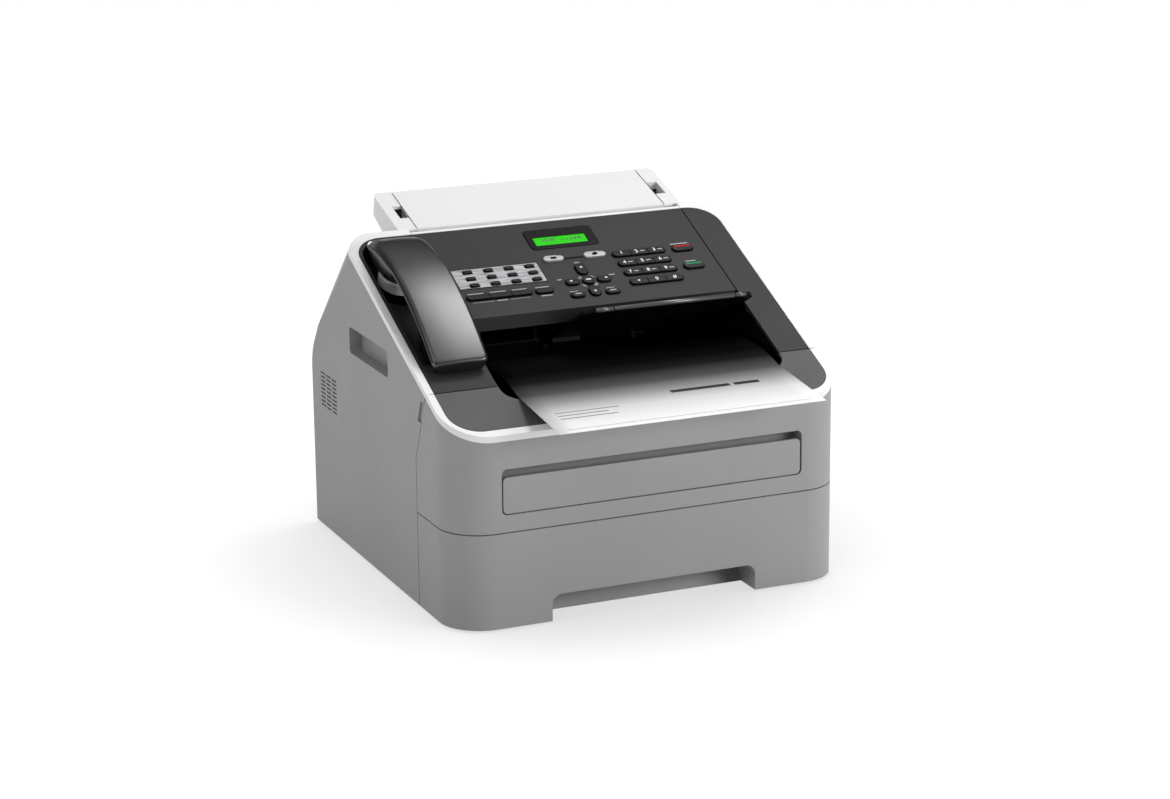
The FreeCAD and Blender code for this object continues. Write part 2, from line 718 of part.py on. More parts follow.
feet = [post("foot_middle", 7.0, 0.0, 0.0, (0.0, 2.5))]
for x in (20.5 - frame_half, frame_half - 20.5):
    for y in (door_low + 24.0, half_depth - 30.0):
        feet.append(post(f"foot_{len(feet)}", 8.0, x, y, (0.0, 2.5)))
nodes["rubber_feet"] = doc.addObject("Part::Compound", "rubber_feet")
nodes["rubber_feet"].Links = feet

# Output bay: sloping floor between two side walls and a back wall

bay_wall = cell("bay_wall")
bay_back = cell("bay_back")
floor_front = door_height - cell("bay_floor_drop")
floor_back = floor_front - cell("bay_floor_fall")
bay_front = -cell("cover_seam") + 1.5
floor_points = [
    (bay_front, floor_front), (bay_back, floor_back), (bay_back, floor_back - bay_wall),
    (bay_front, floor_front - bay_wall),
]
bay_floor = pad("bay_floor", "YZ_Plane", floor_points, bay_left + bay_wall, bay_right + bay_wall)
scan_low = as_size(-26.0)


def face_at(y):
    """Height of the sloping face."""
    return panel_zero + as_size(y) * rise / run


def under_scanner(y):
    """Height of the scanner base's underside, which the bay walls carry."""
    return face_at(y) + scan_low / run


bay_walls = []
for name, ends in (
    ("bay_left_wall", (bay_left + 0.5, bay_left + 0.5 + bay_wall)),
    ("bay_right_wall", (bay_right, bay_right + bay_wall)),
):
    points = [
        (bay_front, floor_front - bay_wall), (bay_back, floor_back - bay_wall),
        (bay_back, under_scanner(bay_back)), (-2.0, under_scanner(-2.0)), (-6.0, face_at(-6.0) - 40.5),
        (-30.0, face_at(-30.0) - 29.5), (-46.0, face_at(-46.0) - 10.3), (bay_front, face_at(bay_front) - 5.2),
    ]
    bay_walls.append(pad(name, "YZ_Plane", points, ends[0], ends[1]))
bay_rear = block(
    "bay_rear", (bay_left + 0.5, bay_right + bay_wall), (bay_back, bay_back + bay_wall),
    (floor_back - bay_wall, under_scanner(bay_back) - 8.0),
)
exit_y = bay_back - 12.0
exit_z = floor_back + 20.5
exit_radius = as_size(3.0)
exit_bores = [
    rod("exit_bore_left", exit_radius + 0.05, (bay_left - 2.0, bay_left + 5.0), exit_y, exit_z),
    rod("exit_bore_right", exit_radius + 0.05, (bay_right - 2.0, bay_right + 5.0), exit_y, exit_z),
]
bay_flanges = [
    block("bay_flange_left", (-frame_half + frame_wall, bay_left + 1.5), (-60.0, 60.0), (166.0, 169.0)),
    block("bay_flange_right", (bay_right + 1.0, frame_half - frame_wall), (-60.0, 60.0), (166.0, 169.0)),
]
bay_full = fuse("bay_full", bay_floor, bay_rear, *bay_walls, *bay_flanges)
nodes["output_tray"] = cut("output_tray", bay_full, *exit_bores)

# Scanner base under the control panel: guide plate, image sensor, feed roller and flap ears

scan_x = (bay_left + 0.6, bay_right + bay_wall)
scan_plate = panel_block("scan_plate", scan_x, (-14.0, 80.0), (scan_low, -17.0))
sensor_hole = panel_block("sensor_hole", (-105.0, 132.0), (28.0, 50.0), (-30.0, -10.0))
roller_hole = panel_block("roller_hole", (-62.0, 92.0), (6.0, 24.0), (-30.0, -10.0))
axis_y = cell("flap_axis_y")
axis_z = panel_zero - cell("flap_axis_drop")
flap_left = -cell("flap_left")
flap_right = cell("flap_right")
ears = []
for name, ends in (("left_ear", (flap_left - 5.0, flap_left - 1.0)), ("mid_ear", (62.0, 66.0))):
    ears.append(block(name, ends, (axis_y - 5.0, axis_y + 5.0), (axis_z - 5.0, under_scanner(axis_y) + 4.0)))
    ears.append(rod(name + "_pin", 1.95, (ends[0], ends[1] + 6.0), axis_y, axis_z))
ears[0].Label = "left_ear"
roller_u = as_size(15.0)
roller_n = as_size(-21.5)
roller_y = roller_u * run - roller_n * rise
roller_z = panel_zero + roller_u * rise + roller_n * run
feed_shaft = as_size(2.5)
feed_bore = rod("feed_bore", feed_shaft + 0.05, (-68.0, 98.0), roller_y, roller_z)
guide_z = (axis_z + 5.0, axis_z + 6.5)
exit_guides = [block("exit_guide", (bay_left + 28.0, flap_left - 11.0), (axis_y - 12.0, axis_y - 6.0), guide_z)]
for x in (bay_left + 32.0, flap_left - 15.0):
    hanger_z = (guide_z[0], under_scanner(axis_y - 8.0) + 4.0)
    hanger_x = (x - 1.5, x + 1.5)
    hanger_y = (axis_y - 10.0, axis_y - 7.0)
    exit_guides.append(block(f"guide_hanger_{len(exit_guides)}", hanger_x, hanger_y, hanger_z))
nodes["scanner_base"] = fuse(
    "scanner_base", cut("scan_guide", scan_plate, sensor_hole, roller_hole, feed_bore), *ears, *exit_guides,
)
nodes["image_sensor"] = panel_block("image_sensor", (-104.4, 131.4), (28.6, 49.4), (-28.0, -17.0))
nodes["document_roller"] = fuse(
    "document_roller",
    rod("document_shaft", feed_shaft, (-67.0, 97.0), roller_y, roller_z),
    rod("document_rubber_one", 6.0, (-52.0, -14.0), roller_y, roller_z),
    rod("document_rubber_two", 6.0, (44.0, 82.0), roller_y, roller_z),
)

# Exit flap for copied documents with its folding extension

flap_slope = cell("flap_slope")
flap_length = cell("flap_length")
flap_thick = cell("flap_thick")


def on_flap(thing, x=0.0, v=0.0, w=0.0):
    """Place in the flap's frame: v runs from the hinge towards the front, w out of its top."""
    v = as_size(v)
    w = as_size(w)
    sin_f = sine(flap_slope)
    cos_f = cosine(flap_slope)
    y = axis_y - v * cos_f + w * sin_f
    z = axis_z + v * sin_f + w * cos_f
    return place(thing, x, y, z, ACROSS, -flap_slope)


def flap_block(name, x, v, w):
    thing = block(name, x, (-as_size(v[1]), -as_size(v[0])), w)
    return on_flap(thing, x[0], v[1], w[0])


tip = flap_length
extension_x = (8.0, 125.0)
extension_root = tip - 36.0
flap_plate = pad(
    "flap_plate", "XY_Plane",
    [(flap_left, -tip), (flap_right, -tip), (flap_right, 0.0), (flap_left, 0.0)],
    -flap_thick / 2, flap_thick / 2,
)
fillet(
    flap_plate, as_size(12.0),
    lambda edge: runs_along(edge, Vector(0, 0, 1)) and edge.CenterOfMass.y < -50.0,
)
on_flap(flap_plate)
flap_window = flap_block("flap_window", (extension_x[0] - 0.6, extension_x[1] + 0.6),
                         (extension_root - 0.8, tip + 5.0), (-10.0, 10.0))
barrels = []
bores = []
for name, ends in (("left_barrel", (flap_left, flap_left + 9.0)), ("mid_barrel", (67.0, 76.0))):
    barrels.append(rod(name, 4.0, ends, axis_y, axis_z))
    bores.append(rod(name + "_bore", 2.0, (ends[0] - 2.0, ends[0] + 6.5), axis_y, axis_z))
ear_room = block("ear_room", (61.0, 67.0), (axis_y - 12.0, axis_y + 12.0), (axis_z - 12.0, axis_z + 12.0))
arms = []
for way, ends in ((-1, (flap_left, extension_x[0] - 0.6)), (1, (extension_x[1] + 0.6, flap_right))):
    arms.append(flap_block(f"flap_rib_{way + 1}", ends, (10.0, 14.0), (-5.0, 0.0)))
pin_v = tip - 3.5
extension_pins = flap_block("pin_arm", (extension_x[0] - 8.0, extension_x[0] - 0.6), (80.0, 90.0), (-1.5, 1.5))
bead_y = axis_y - (tip - 1.6) * cosine(flap_slope)
bead_z = axis_z + (tip - 1.6) * sine(flap_slope)
bead_radius = as_size(2.0)
beads = [
    rod("bead_left", bead_radius, (flap_left + 10.0, extension_x[0] - 0.6), bead_y, bead_z),
    rod("bead_right", bead_radius, (extension_x[1] + 0.6, flap_right - 10.0), bead_y, bead_z),
]
nodes["exit_flap"] = cut(
    "exit_flap",
    fuse("exit_flap_full", cut("flap_frame", flap_plate, flap_window, ear_room), *barrels, *arms, *beads),
    *bores,
)
extension_plate = flap_block(
    "extension_plate", extension_x, (extension_root, tip - 3.0), (-flap_thick / 2, flap_thick / 2),
)
extension_bar = rod("extension_bar", bead_radius, extension_x, bead_y, bead_z)
nodes["exit_flap_extension"] = fuse("exit_flap_extension", extension_plate, extension_bar)

# Control panel: skin with a skirt, hinge barrel behind, holes for the keys and the display

panel_x = (bay_left + 0.3, bay_right - 0.3)
panel_u = -cell("panel_front") / run
drop = cell("panel_drop")
skin = cell("panel_skin")
front_foot_u = panel_u - drop * rise / run
profile = [
    (panel_u, 0.0), (rim_back_u - 0.4, 0.0), (rim_back_u - 0.4, -drop + 2.0),
    (rim_back_u - 6.0, -drop), (front_foot_u, -drop),
]
panel_solid = on_panel(pad("panel_solid", "YZ_Plane", profile, panel_x[0], panel_x[1]))
hollow_profile = [
    (panel_u + 3.5, -skin), (rim_back_u - 4.0, -skin), (rim_back_u - 4.0, -drop - 5.0),
    (panel_u - 1.0, -drop - 5.0),
]
panel_hollow = on_panel(
    pad("panel_hollow", "YZ_Plane", hollow_profile, panel_x[0] + 3.0, panel_x[1] - 3.0),
)

# Keys: name, middle across, middle up the slope, length, height
numeral_pitch = 14.13
KEYS = [
    ("function_keys", -72.5, -14.4, 62.4, 7.2),
    ("options_key", -29.8, -14.8, 17.4, 7.2),
    ("fax_mode_key", -4.4, 28.7, 19.8, 7.0),
    ("copy_mode_key", 36.1, 28.7, 21.5, 7.0),
    ("up_key", 15.6, 10.0, 10.4, 16.0),
    ("down_key", 15.6, -22.9, 10.4, 13.6),
    ("left_key", 0.3, -6.9, 13.6, 8.6),
    ("right_key", 31.1, -6.9, 13.6, 8.6),
    ("clear_key", -1.6, -25.6, 14.0, 7.4),
    ("menu_key", 32.2, -25.6, 14.0, 7.4),
    ("number_row_one", 79.0, 26.05, 52.8, 8.2),
    ("number_row_two", 79.0, 26.05 - numeral_pitch, 52.8, 8.2),
    ("number_row_three", 79.0, 26.05 - 2 * numeral_pitch, 52.8, 8.2),
    ("number_row_four", 79.0, 26.05 - 3 * numeral_pitch, 52.8, 8.2),
    ("stop_key", 122.5, 25.5, 21.0, 9.0),
    ("start_key", 122.6, -1.4, 20.6, 9.0),
]
key_gap = cell("key_gap")
key_rise = cell("key_rise")
key_root = cell("key_root")
key_edge = cell("key_edge")
ok_radius = as_size(5.6)
ok_place = (15.6, -6.9)
holes = []
for name, x, u, length, height in KEYS:
    ends_x = (as_size(x - length / 2), as_size(x + length / 2))
    ends_u = (as_size(u - height / 2), as_size(u + height / 2))
    corner = as_size(min(length, height) / 2 - 0.05)
    key = rounded_block(name, ends_x, ends_u, (-key_root, key_rise), corner, key_edge)
    nodes[name] = on_panel(key)
    hole = rounded_block(
        name + "_hole", (ends_x[0] - key_gap, ends_x[1] + key_gap),
        (ends_u[0] - key_gap, ends_u[1] + key_gap), (-20.0, 20.0), corner + key_gap,
    )
    holes.append(on_panel(hole))

# Grooves part the joined keys into three caps each
GROOVES = {"function_keys": (-82.5, -61.6)}
for name, x, u, length, height in KEYS:
    if name.startswith("number_row"):
        GROOVES[name] = (x - 8.8, x + 8.8)
for name, places in GROOVES.items():
    grooves = []
    for x in places:
        groove_x = (x - 0.4, x + 0.4)
        grooves.append(panel_block(f"{name}_groove_{len(grooves)}", groove_x, (-40.0, 40.0), (0.2, 10.0)))
    nodes[name] = cut(name + "_caps", nodes[name], *grooves)
nodes["ok_key"] = panel_post("ok_key", ok_radius, ok_place[0], ok_place[1], (-key_root, key_rise))
holes.append(panel_post("ok_hole", ok_radius + key_gap, ok_place[0], ok_place[1], (-20.0, 20.0)))

# Speed keys sit in three rows of four on one flexible mat
mat_x = (-99.0, -20.5)
mat_u = (-1.5, 27.3)
speed_parts = [panel_block("speed_mat", mat_x, mat_u, (-5.5, -4.5))]
for row in range(3):
    for column in range(4):
        x = -89.5 + 19.85 * column
        u = 22.7 - 9.77 * row
        ends_x = (as_size(x - 4.4), as_size(x + 4.4))
        ends_u = (as_size(u - 2.1), as_size(u + 2.1))
        name = f"speed_key_{row}_{column}"
        key = rounded_block(name, ends_x, ends_u, (-5.0, 1.8), as_size(2.05), as_size(0.7))
        speed_parts.append(on_panel(key))
        hole = rounded_block(
            name + "_hole", (ends_x[0] - key_gap, ends_x[1] + key_gap),
            (ends_u[0] - key_gap, ends_u[1] + key_gap), (-20.0, 20.0), as_size(2.05) + key_gap,
        )
        holes.append(on_panel(hole))
nodes["speed_keys"] = fuse("speed_keys", *speed_parts)

# Display: bezel let into the skin, window standing in the bezel
bezel_x = (-18.0, 48.5)
bezel_u = (45.2, 73.9)
window_x = (-12.0, 39.0)
window_u = (49.9, 62.4)
bezel_hole = on_panel(
    rounded_block("bezel_hole", (bezel_x[0] - 0.2, bezel_x[1] + 0.2), (bezel_u[0] - 0.2, bezel_u[1] + 0.2),
                  (-1.2, 10.0), as_size(4.2)),
)
window_hole = panel_block("window_hole", (window_x[0] - 3.0, window_x[1] + 3.0),
                          (window_u[0] - 3.0, window_u[1] + 3.0), (-20.0, 10.0))
bezel = on_panel(rounded_block("bezel", bezel_x, bezel_u, (-1.2, 0.9), as_size(4.0), as_size(0.5)))
window_cut = panel_block("window_cut", window_x, window_u, (-5.0, 5.0))
nodes["display_bezel"] = cut("display_bezel", bezel, window_cut)
nodes["display_window"] = fuse(
    "display_window",
    panel_block("display_glass", (window_x[0] + 0.15, window_x[1] - 0.15),
                (window_u[0] + 0.15, window_u[1] - 0.15), (-2.0, 0.4)),
    panel_block("display_module", (window_x[0] - 2.5, window_x[1] + 2.5),
                (window_u[0] - 2.5, window_u[1] + 2.5), (-6.0, -1.4)),
)
nodes["control_panel"] = cut("control_panel", panel_solid, panel_hollow, bezel_hole, window_hole, *holes)

barrel_radius = cell("barrel_radius")
barrel_u = cell("barrel_u")
barrel_y = barrel_u * run + barrel_radius * rise
barrel_z = panel_zero + barrel_u * rise - barrel_radius * run
nodes["panel_rim"] = fuse(
    "panel_rim",
    cut(
        "panel_barrel", rod("panel_round", barrel_radius, panel_x, barrel_y, barrel_z),
        panel_block("panel_round_front", (-200.0, 200.0), (60.0, rim_back_u), (-20.0, 20.0)),
    ),
    panel_block("panel_rim_bar", panel_x, (rim_back_u, barrel_u), (-2 * barrel_radius, 0.0)),
)

# Document feeder tray behind the ridge with the fold-out support plate

ridge = cell("ridge_back")
ridge_height = panel_zero + ridge * rise / run
back_fall = (ridge_height - cell("rear_height")) / (half_depth - ridge)
feeder_x = (-cell("feeder_left"), cell("feeder_right"))
feeder_back = cell("feeder_back")
front_top = ridge_height - cell("feeder_step")
feeder_top = front_top + cell("feeder_rise")
feeder_front = ridge + 2.2
feeder_slope = (feeder_top - front_top) / (feeder_back - ridge)
stand_off = as_size(0.3)


def back_line(y):
    """Height just above the rear slope of the housing."""
    return ridge_height - (as_size(y) - ridge) * back_fall + stand_off


def feeder_line(y):
    return front_top + (as_size(y) - ridge) * feeder_slope


feeder_points = [
    (feeder_front, back_line(feeder_front)), (feeder_front, feeder_line(feeder_front)),
    (feeder_back, feeder_top), (feeder_back + 2.5, feeder_top - 1.5), (feeder_back + 5.5, feeder_top - 16.2),
    (ridge + 17.5, back_line(ridge + 17.5)),
]
feeder_body = pad("feeder_body", "YZ_Plane", feeder_points, feeder_x[0], feeder_x[1])
fillet(
    feeder_body, as_size(9.0),
    lambda edge: not runs_along(edge, ACROSS) and edge.CenterOfMass.y > float(feeder_back) + 2.6
    and edge.CenterOfMass.z > float(feeder_top) - 13.0,
)
plate_x = (-cell("plate_left"), cell("plate_right"))
plate_thick = cell("plate_thick")
pocket_points = [
    (feeder_front - 1.0, feeder_line(feeder_front - 1.0) + 10.0), (feeder_back + 20.0, feeder_top + 20.0),
    (feeder_back + 20.0, feeder_line(feeder_back + 20.0) - 9.0),
    (feeder_back - 6.0, feeder_line(feeder_back - 6.0) - 9.0),
    (feeder_back - 8.0, feeder_line(feeder_back - 8.0) - 16.0),
    (ridge + 15.5, feeder_line(ridge + 15.5) - 16.0),
    (feeder_front - 1.0, feeder_line(feeder_front - 1.0) - 4.2),
]
plate_pocket = pad("plate_pocket", "YZ_Plane", pocket_points, plate_x[0], plate_x[1])
finger_y = (ridge + 22.5, ridge + 44.0)
finger_z = (feeder_line(finger_y[0]) - 10.0, feeder_top + 20.0)
finger_left = block("finger_left", (plate_x[0] - 9.0, plate_x[0] + 1.0), finger_y, finger_z)
finger_right = block("finger_right", (plate_x[1] - 1.0, plate_x[1] + 11.0), finger_y, finger_z)
pin_y = feeder_back - 3.0
pin_z = feeder_line(pin_y) - plate_thick / 2
bore_left = rod("bore_left", 1.3, (plate_x[0] - 5.0, plate_x[0] + 1.0), pin_y, pin_z)
bore_right = rod("bore_right", 1.3, (plate_x[1] - 1.0, plate_x[1] + 5.0), pin_y, pin_z)
nodes["document_tray"] = cut(
    "document_tray", feeder_body, plate_pocket, finger_left, finger_right, bore_left, bore_right,
)
plate_top_front = feeder_line(feeder_front + 0.4)
plate_points = [
    (feeder_front + 0.4, plate_top_front), (pin_y + 2.5, feeder_line(pin_y + 2.5)),
    (pin_y + 2.0, feeder_line(pin_y + 2.0) - plate_thick), (feeder_front + 0.4, plate_top_front - plate_thick),
]
support_body = pad("support_body", "YZ_Plane", plate_points, plate_x[0] + 0.4, plate_x[1] - 0.4)
nodes["document_support"] = fuse(
    "document_support", support_body,
    rod("support_pin", 1.25, (plate_x[0] - 4.0, plate_x[1] + 4.0), pin_y, pin_z),
)

# Print engine below the bay

drum_body = block("drum_body", (-125.0, 125.0), (-60.0, 33.0), (deck_top, 113.0))
drum_room = block("drum_room", (-121.0, 121.0), (-56.0, 29.0), (97.0, 120.0))
drum = rod("drum", 12.0, (-122.0, 122.0), 14.0, 108.5)
nodes["drum_unit"] = fuse("drum_unit", cut("drum_frame", drum_body, drum_room), drum)
toner_points = [(-54.0, 97.0), (-6.0, 97.0), (-2.0, 104.0), (-8.0, 142.0), (-40.0, 150.0), (-54.0, 140.0)]
toner_body = pad("toner_body", "YZ_Plane", toner_points, -119.0, 119.0)
fillet(toner_body, as_size(3.0), lambda edge: runs_along(edge, ACROSS))
toner_grip = block("toner_grip", (-30.0, 30.0), (-68.0, -53.0), (128.0, 134.0))
nodes["toner_cartridge"] = fuse("toner_cartridge", toner_body, toner_grip)
laser_top = floor_back - bay_wall - 3.5
laser_low = laser_top - 22.0
laser_back = half_depth - 76.0
nodes["laser_unit"] = fuse(
    "laser_unit",
    block("laser_body", (-115.0, 115.0), (36.0, laser_back), (laser_low, laser_top - 2.0)),
    block("laser_lid", (-117.0, 117.0), (34.0, laser_back + 2.0), (laser_top - 2.0, laser_top)),
    block("laser_leg_left", (-115.0, -110.0), (36.0, laser_back), (deck_top, laser_low + 1.0)),
    block("laser_leg_right", (110.0, 115.0), (36.0, laser_back), (deck_top, laser_low + 1.0)),
)
fuser_y = (half_depth - 68.0, half_depth - 20.0)
roll_y = half_depth - 44.0
fuser_body = block("fuser_body", (-120.0, 120.0), fuser_y, (deck_top, 138.0))
fuser_room = block("fuser_room", (-116.0, 116.0), (fuser_y[0] + 4.0, fuser_y[1] + 5.0), (deck_top + 4.0, 134.0))
heat_roll = rod("heat_roll", 8.6, (-118.0, 118.0), roll_y, 124.4)
press_roll = rod("press_roll", 8.6, (-118.0, 118.0), roll_y, 106.0)
nodes["fuser_unit"] = fuse("fuser_unit", cut("fuser_case", fuser_body, fuser_room), heat_roll, press_roll)

nodes["exit_roller"] = fuse(
    "exit_roller",
    rod("exit_shaft", exit_radius, (bay_left + 1.0, bay_right + 2.0), exit_y, exit_z),
    *[rod(f"exit_rubber_{i}", 7.0, (-85.0 + 60.0 * i, -60.0 + 60.0 * i), exit_y, exit_z) for i in range(4)],
)
pick_y = as_size(-62.0)
pick_z = as_size(70.0)
nodes["pickup_roller"] = fuse(
    "pickup_roller",
    rod("pickup_shaft", 3.0, (-60.0, 60.0), pick_y, pick_z),
    rod("pickup_rubber", 12.0, (-25.0, 25.0), pick_y, pick_z),
)
hangers = []
hanger_bores = []
for x in (-50.0, 46.0):
    hangers.append(block(f"hanger_{len(hangers)}", (x, x + 4.0), (-70.0, -54.0), (64.0, deck_low + 1.0)))
    hanger_bores.append(rod(f"hanger_bore_{len(hanger_bores)}", 3.05, (x - 1.0, x + 5.0), pick_y, pick_z))
frame_body = fuse("frame_body", *frame_parts, *hangers)
nodes["base_frame"] = cut("base_frame", frame_body, *hanger_bores)

motor_x = frame_half - frame_wall
nodes["drive_motor"] = fuse(
    "drive_motor",
    rod("motor_can", 20.0, (motor_x - 24.5, motor_x - 1.5), 70.0, 116.0),
    block("motor_plate", (motor_x - 2.0, motor_x), (44.0, 96.0), (91.0, 142.0)),
    rod("motor_pinion", 5.0, (motor_x - 32.5, motor_x - 23.5), 70.0, 116.0),
)
board_x = frame_wall - frame_half + 0.2
chips = [
    block("board_chip", (board_x + 0.8, board_x + 5.3), (30.0, 62.0), (110.0, 142.0)),
    block("board_socket", (board_x + 0.8, board_x + 12.3), (76.0, 100.0), (100.0, 112.0)),
]
nodes["main_board"] = fuse(
    "main_board", block("board", (board_x, board_x + 1.6), (-70.0, 110.0), (94.0, 154.0)), *chips,
)

# A delivered sheet lying across the bay and over the front cover

paper_front = -float(half_depth + cell("paper_overhang"))
paper_x = -float(cell("paper_left"))
paper_long = float(cell("paper_left")) + float(cell("paper_right"))
paper_up = Vector(0, 0, float(cell("paper_thick")))
notch_y = -float(cell("bay_notch"))
paper_first = Vector(paper_x, paper_front, float(face_at(notch_y)) - 8.2)
paper_bend = Vector(paper_x, notch_y + 2.0, float(face_at(notch_y)) + 1.9)
paper_crest = Vector(paper_x, -84.0, float(face_at(-84.0)) - 15.0)
paper_last = Vector(paper_x, 58.0, float(floor_back) + 9.0)
lower_line = Part.LineSegment(paper_first, paper_bend).toShape()
lower_arc = Part.Arc(paper_bend, paper_crest, paper_last).toShape()
upper_line = Part.LineSegment(paper_bend + paper_up, paper_first + paper_up).toShape()
upper_arc = Part.Arc(paper_last + paper_up, paper_crest + paper_up, paper_bend + paper_up).toShape()
paper_ends = [
    Part.LineSegment(paper_last, paper_last + paper_up).toShape(),
    Part.LineSegment(paper_first + paper_up, paper_first).toShape(),
]
paper_wire = Part.Wire([lower_line, lower_arc, paper_ends[0], upper_arc, upper_line, paper_ends[1]])
nodes["delivered_sheet"] = shape_of(
    "delivered_sheet", Part.Face(paper_wire).extrude(Vector(paper_long, 0, 0)),
)

# Check every object, then write one file for each piece

doc.recompute()
for thing in doc.Objects:
    state = " ".join(thing.State)
    if "Invalid" in state or "Error" in state:
        raise RuntimeError(f"{thing.Label}: {state}")
os.makedirs("parts", exist_ok=True)
for old in os.listdir("parts"):
    if old.endswith(".step") and old[:-5] not in nodes:
        os.remove(os.path.join("parts", old))
for name, thing in nodes.items():
    thing.Label = name
    solid = thing.Shape
    if solid.isNull() or not solid.isValid() or not solid.Solids:
        raise RuntimeError(f"{name} is not a sound solid")
    solid.exportStep(f"parts/{name}.step")
    print(f"{name}: {len(solid.Solids)} solid(s), {solid.Volume / 1000.0:.1f} cm3, {solid.BoundBox}")
print(len(nodes), "pieces")
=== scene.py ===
"""Studio scene of a desktop laser fax machine with handset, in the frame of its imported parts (metres)."""

import json
import math

import bpy
from mathutils import Matrix, Vector


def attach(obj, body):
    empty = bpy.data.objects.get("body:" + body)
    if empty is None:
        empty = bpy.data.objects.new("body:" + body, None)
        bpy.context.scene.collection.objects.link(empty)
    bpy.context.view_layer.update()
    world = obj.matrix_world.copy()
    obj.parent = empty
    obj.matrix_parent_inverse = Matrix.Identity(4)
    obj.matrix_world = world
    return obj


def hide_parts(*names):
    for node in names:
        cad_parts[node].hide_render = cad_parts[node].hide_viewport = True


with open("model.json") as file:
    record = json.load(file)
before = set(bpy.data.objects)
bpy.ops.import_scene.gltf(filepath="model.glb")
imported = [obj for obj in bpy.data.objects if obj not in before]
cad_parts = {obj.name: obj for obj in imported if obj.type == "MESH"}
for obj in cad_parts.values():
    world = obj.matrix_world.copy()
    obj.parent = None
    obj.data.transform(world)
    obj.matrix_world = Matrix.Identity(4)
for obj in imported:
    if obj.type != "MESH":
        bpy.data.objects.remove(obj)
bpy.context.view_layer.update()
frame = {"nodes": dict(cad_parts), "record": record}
nodes = frame["nodes"]

# The sloping face. Its pieces are given in millimetres: x across, u up the slope, n above the face.

MM = 0.001
SLOPE = math.radians(24.5)
FRONT_HEIGHT = 0.1712
HALF_DEPTH = 0.180
FACE_ZERO = FRONT_HEIGHT + HALF_DEPTH * math.tan(SLOPE)
FACE = Matrix.Translation((0.0, 0.0, FACE_ZERO)) @ Matrix.Rotation(SLOPE, 4, "X")
WORLD = Matrix.Identity(4)


def face_height(y):
    """Height of the sloping face at a depth y, in metres."""
    return FACE_ZERO + y * math.tan(SLOPE)


# Materials

DRIFT_SCALE = 9.0
GLOSS_SCALE = 60.0
GLOSS_SPREAD = 0.08
GRAIN_DEPTH = 0.00004
RAMP_ENDS = (0.3, 0.7)


def material(name):
    """A new material with one Principled shader."""
    made = bpy.data.materials.new(name)
    made.use_nodes = True
    tree = made.node_tree
    tree.nodes.clear()
    out = tree.nodes.new("ShaderNodeOutputMaterial")
    shader = tree.nodes.new("ShaderNodeBsdfPrincipled")
    tree.links.new(shader.outputs["BSDF"], out.inputs["Surface"])
    return made, tree, shader


def position(tree):
    """Coordinates that stay on the piece, in metres."""
    return tree.nodes.new("ShaderNodeTexCoord").outputs["Object"]


def noise(tree, where, scale, detail=2.0):
    node = tree.nodes.new("ShaderNodeTexNoise")
    node.inputs["Scale"].default_value = scale
    node.inputs["Detail"].default_value = detail
    tree.links.new(where, node.inputs["Vector"])
    return node.outputs["Fac"]


def between(tree, factor, low, high):
    """A colour that runs from low to high while a noise factor crosses its middle range."""
    ramp = tree.nodes.new("ShaderNodeValToRGB")
    for element, place, colour in zip(ramp.color_ramp.elements, RAMP_ENDS, (low, high)):
        element.position = place
        element.color = (*colour, 1.0)
    tree.links.new(factor, ramp.inputs["Fac"])
    return ramp.outputs["Color"]


def bump(tree, shader, height, strength, distance):
    node = tree.nodes.new("ShaderNodeBump")
    node.inputs["Strength"].default_value = strength
    node.inputs["Distance"].default_value = distance
    tree.links.new(height, node.inputs["Height"])
    tree.links.new(node.outputs["Normal"], shader.inputs["Normal"])


def plastic(name, colour, roughness, spread=0.05, grain=2600.0, relief=0.12, metallic=0.0, shine=0.5):
    """Moulded plastic: a slow drift of tone, a fine grain in the surface and slightly uneven gloss."""
    made, tree, shader = material(name)
    where = position(tree)
    low = tuple(c * (1.0 - spread) for c in colour)
    high = tuple(c * (1.0 + spread) for c in colour)
    tree.links.new(between(tree, noise(tree, where, DRIFT_SCALE), low, high), shader.inputs["Base Color"])
    bump(tree, shader, noise(tree, where, grain, 1.0), relief, GRAIN_DEPTH)
    gloss = tree.nodes.new("ShaderNodeMapRange")
    gloss.inputs["To Min"].default_value = roughness * (1.0 - GLOSS_SPREAD)
    gloss.inputs["To Max"].default_value = roughness * (1.0 + GLOSS_SPREAD)
    tree.links.new(noise(tree, where, GLOSS_SCALE), gloss.inputs["Value"])
    tree.links.new(gloss.outputs["Result"], shader.inputs["Roughness"])
    shader.inputs["Metallic"].default_value = metallic
    shader.inputs["Specular IOR Level"].default_value = shine
    return made


SCREEN_GREEN = (0.016, 0.44, 0.002)
SCREEN_POWER = 0.55
SCREEN_DIM = 0.86
SCREEN_CELLS = 900.0
SCREEN_ROUGHNESS = 0.25
SCREEN_SHINE = 0.1


def glowing(name):
    """A lit screen: even light with a faint cell pattern."""
    made, tree, shader = material(name)
    dim = tuple(c * SCREEN_DIM for c in SCREEN_GREEN)
    shade = between(tree, noise(tree, position(tree), SCREEN_CELLS, 0.0), dim, SCREEN_GREEN)
    tree.links.new(shade, shader.inputs["Base Color"])
    tree.links.new(shade, shader.inputs["Emission Color"])
    shader.inputs["Emission Strength"].default_value = SCREEN_POWER
    shader.inputs["Roughness"].default_value = SCREEN_ROUGHNESS
    shader.inputs["Specular IOR Level"].default_value = SCREEN_SHINE
    return made


STREAK_TONES = ((0.13, 0.133, 0.14), (0.46, 0.465, 0.48))
STREAK_SCALE = (60.0, 900.0, 900.0)
STREAK_DETAIL = 3.0
CARD_ROUGHNESS = 0.4
CARD_METAL = 0.2


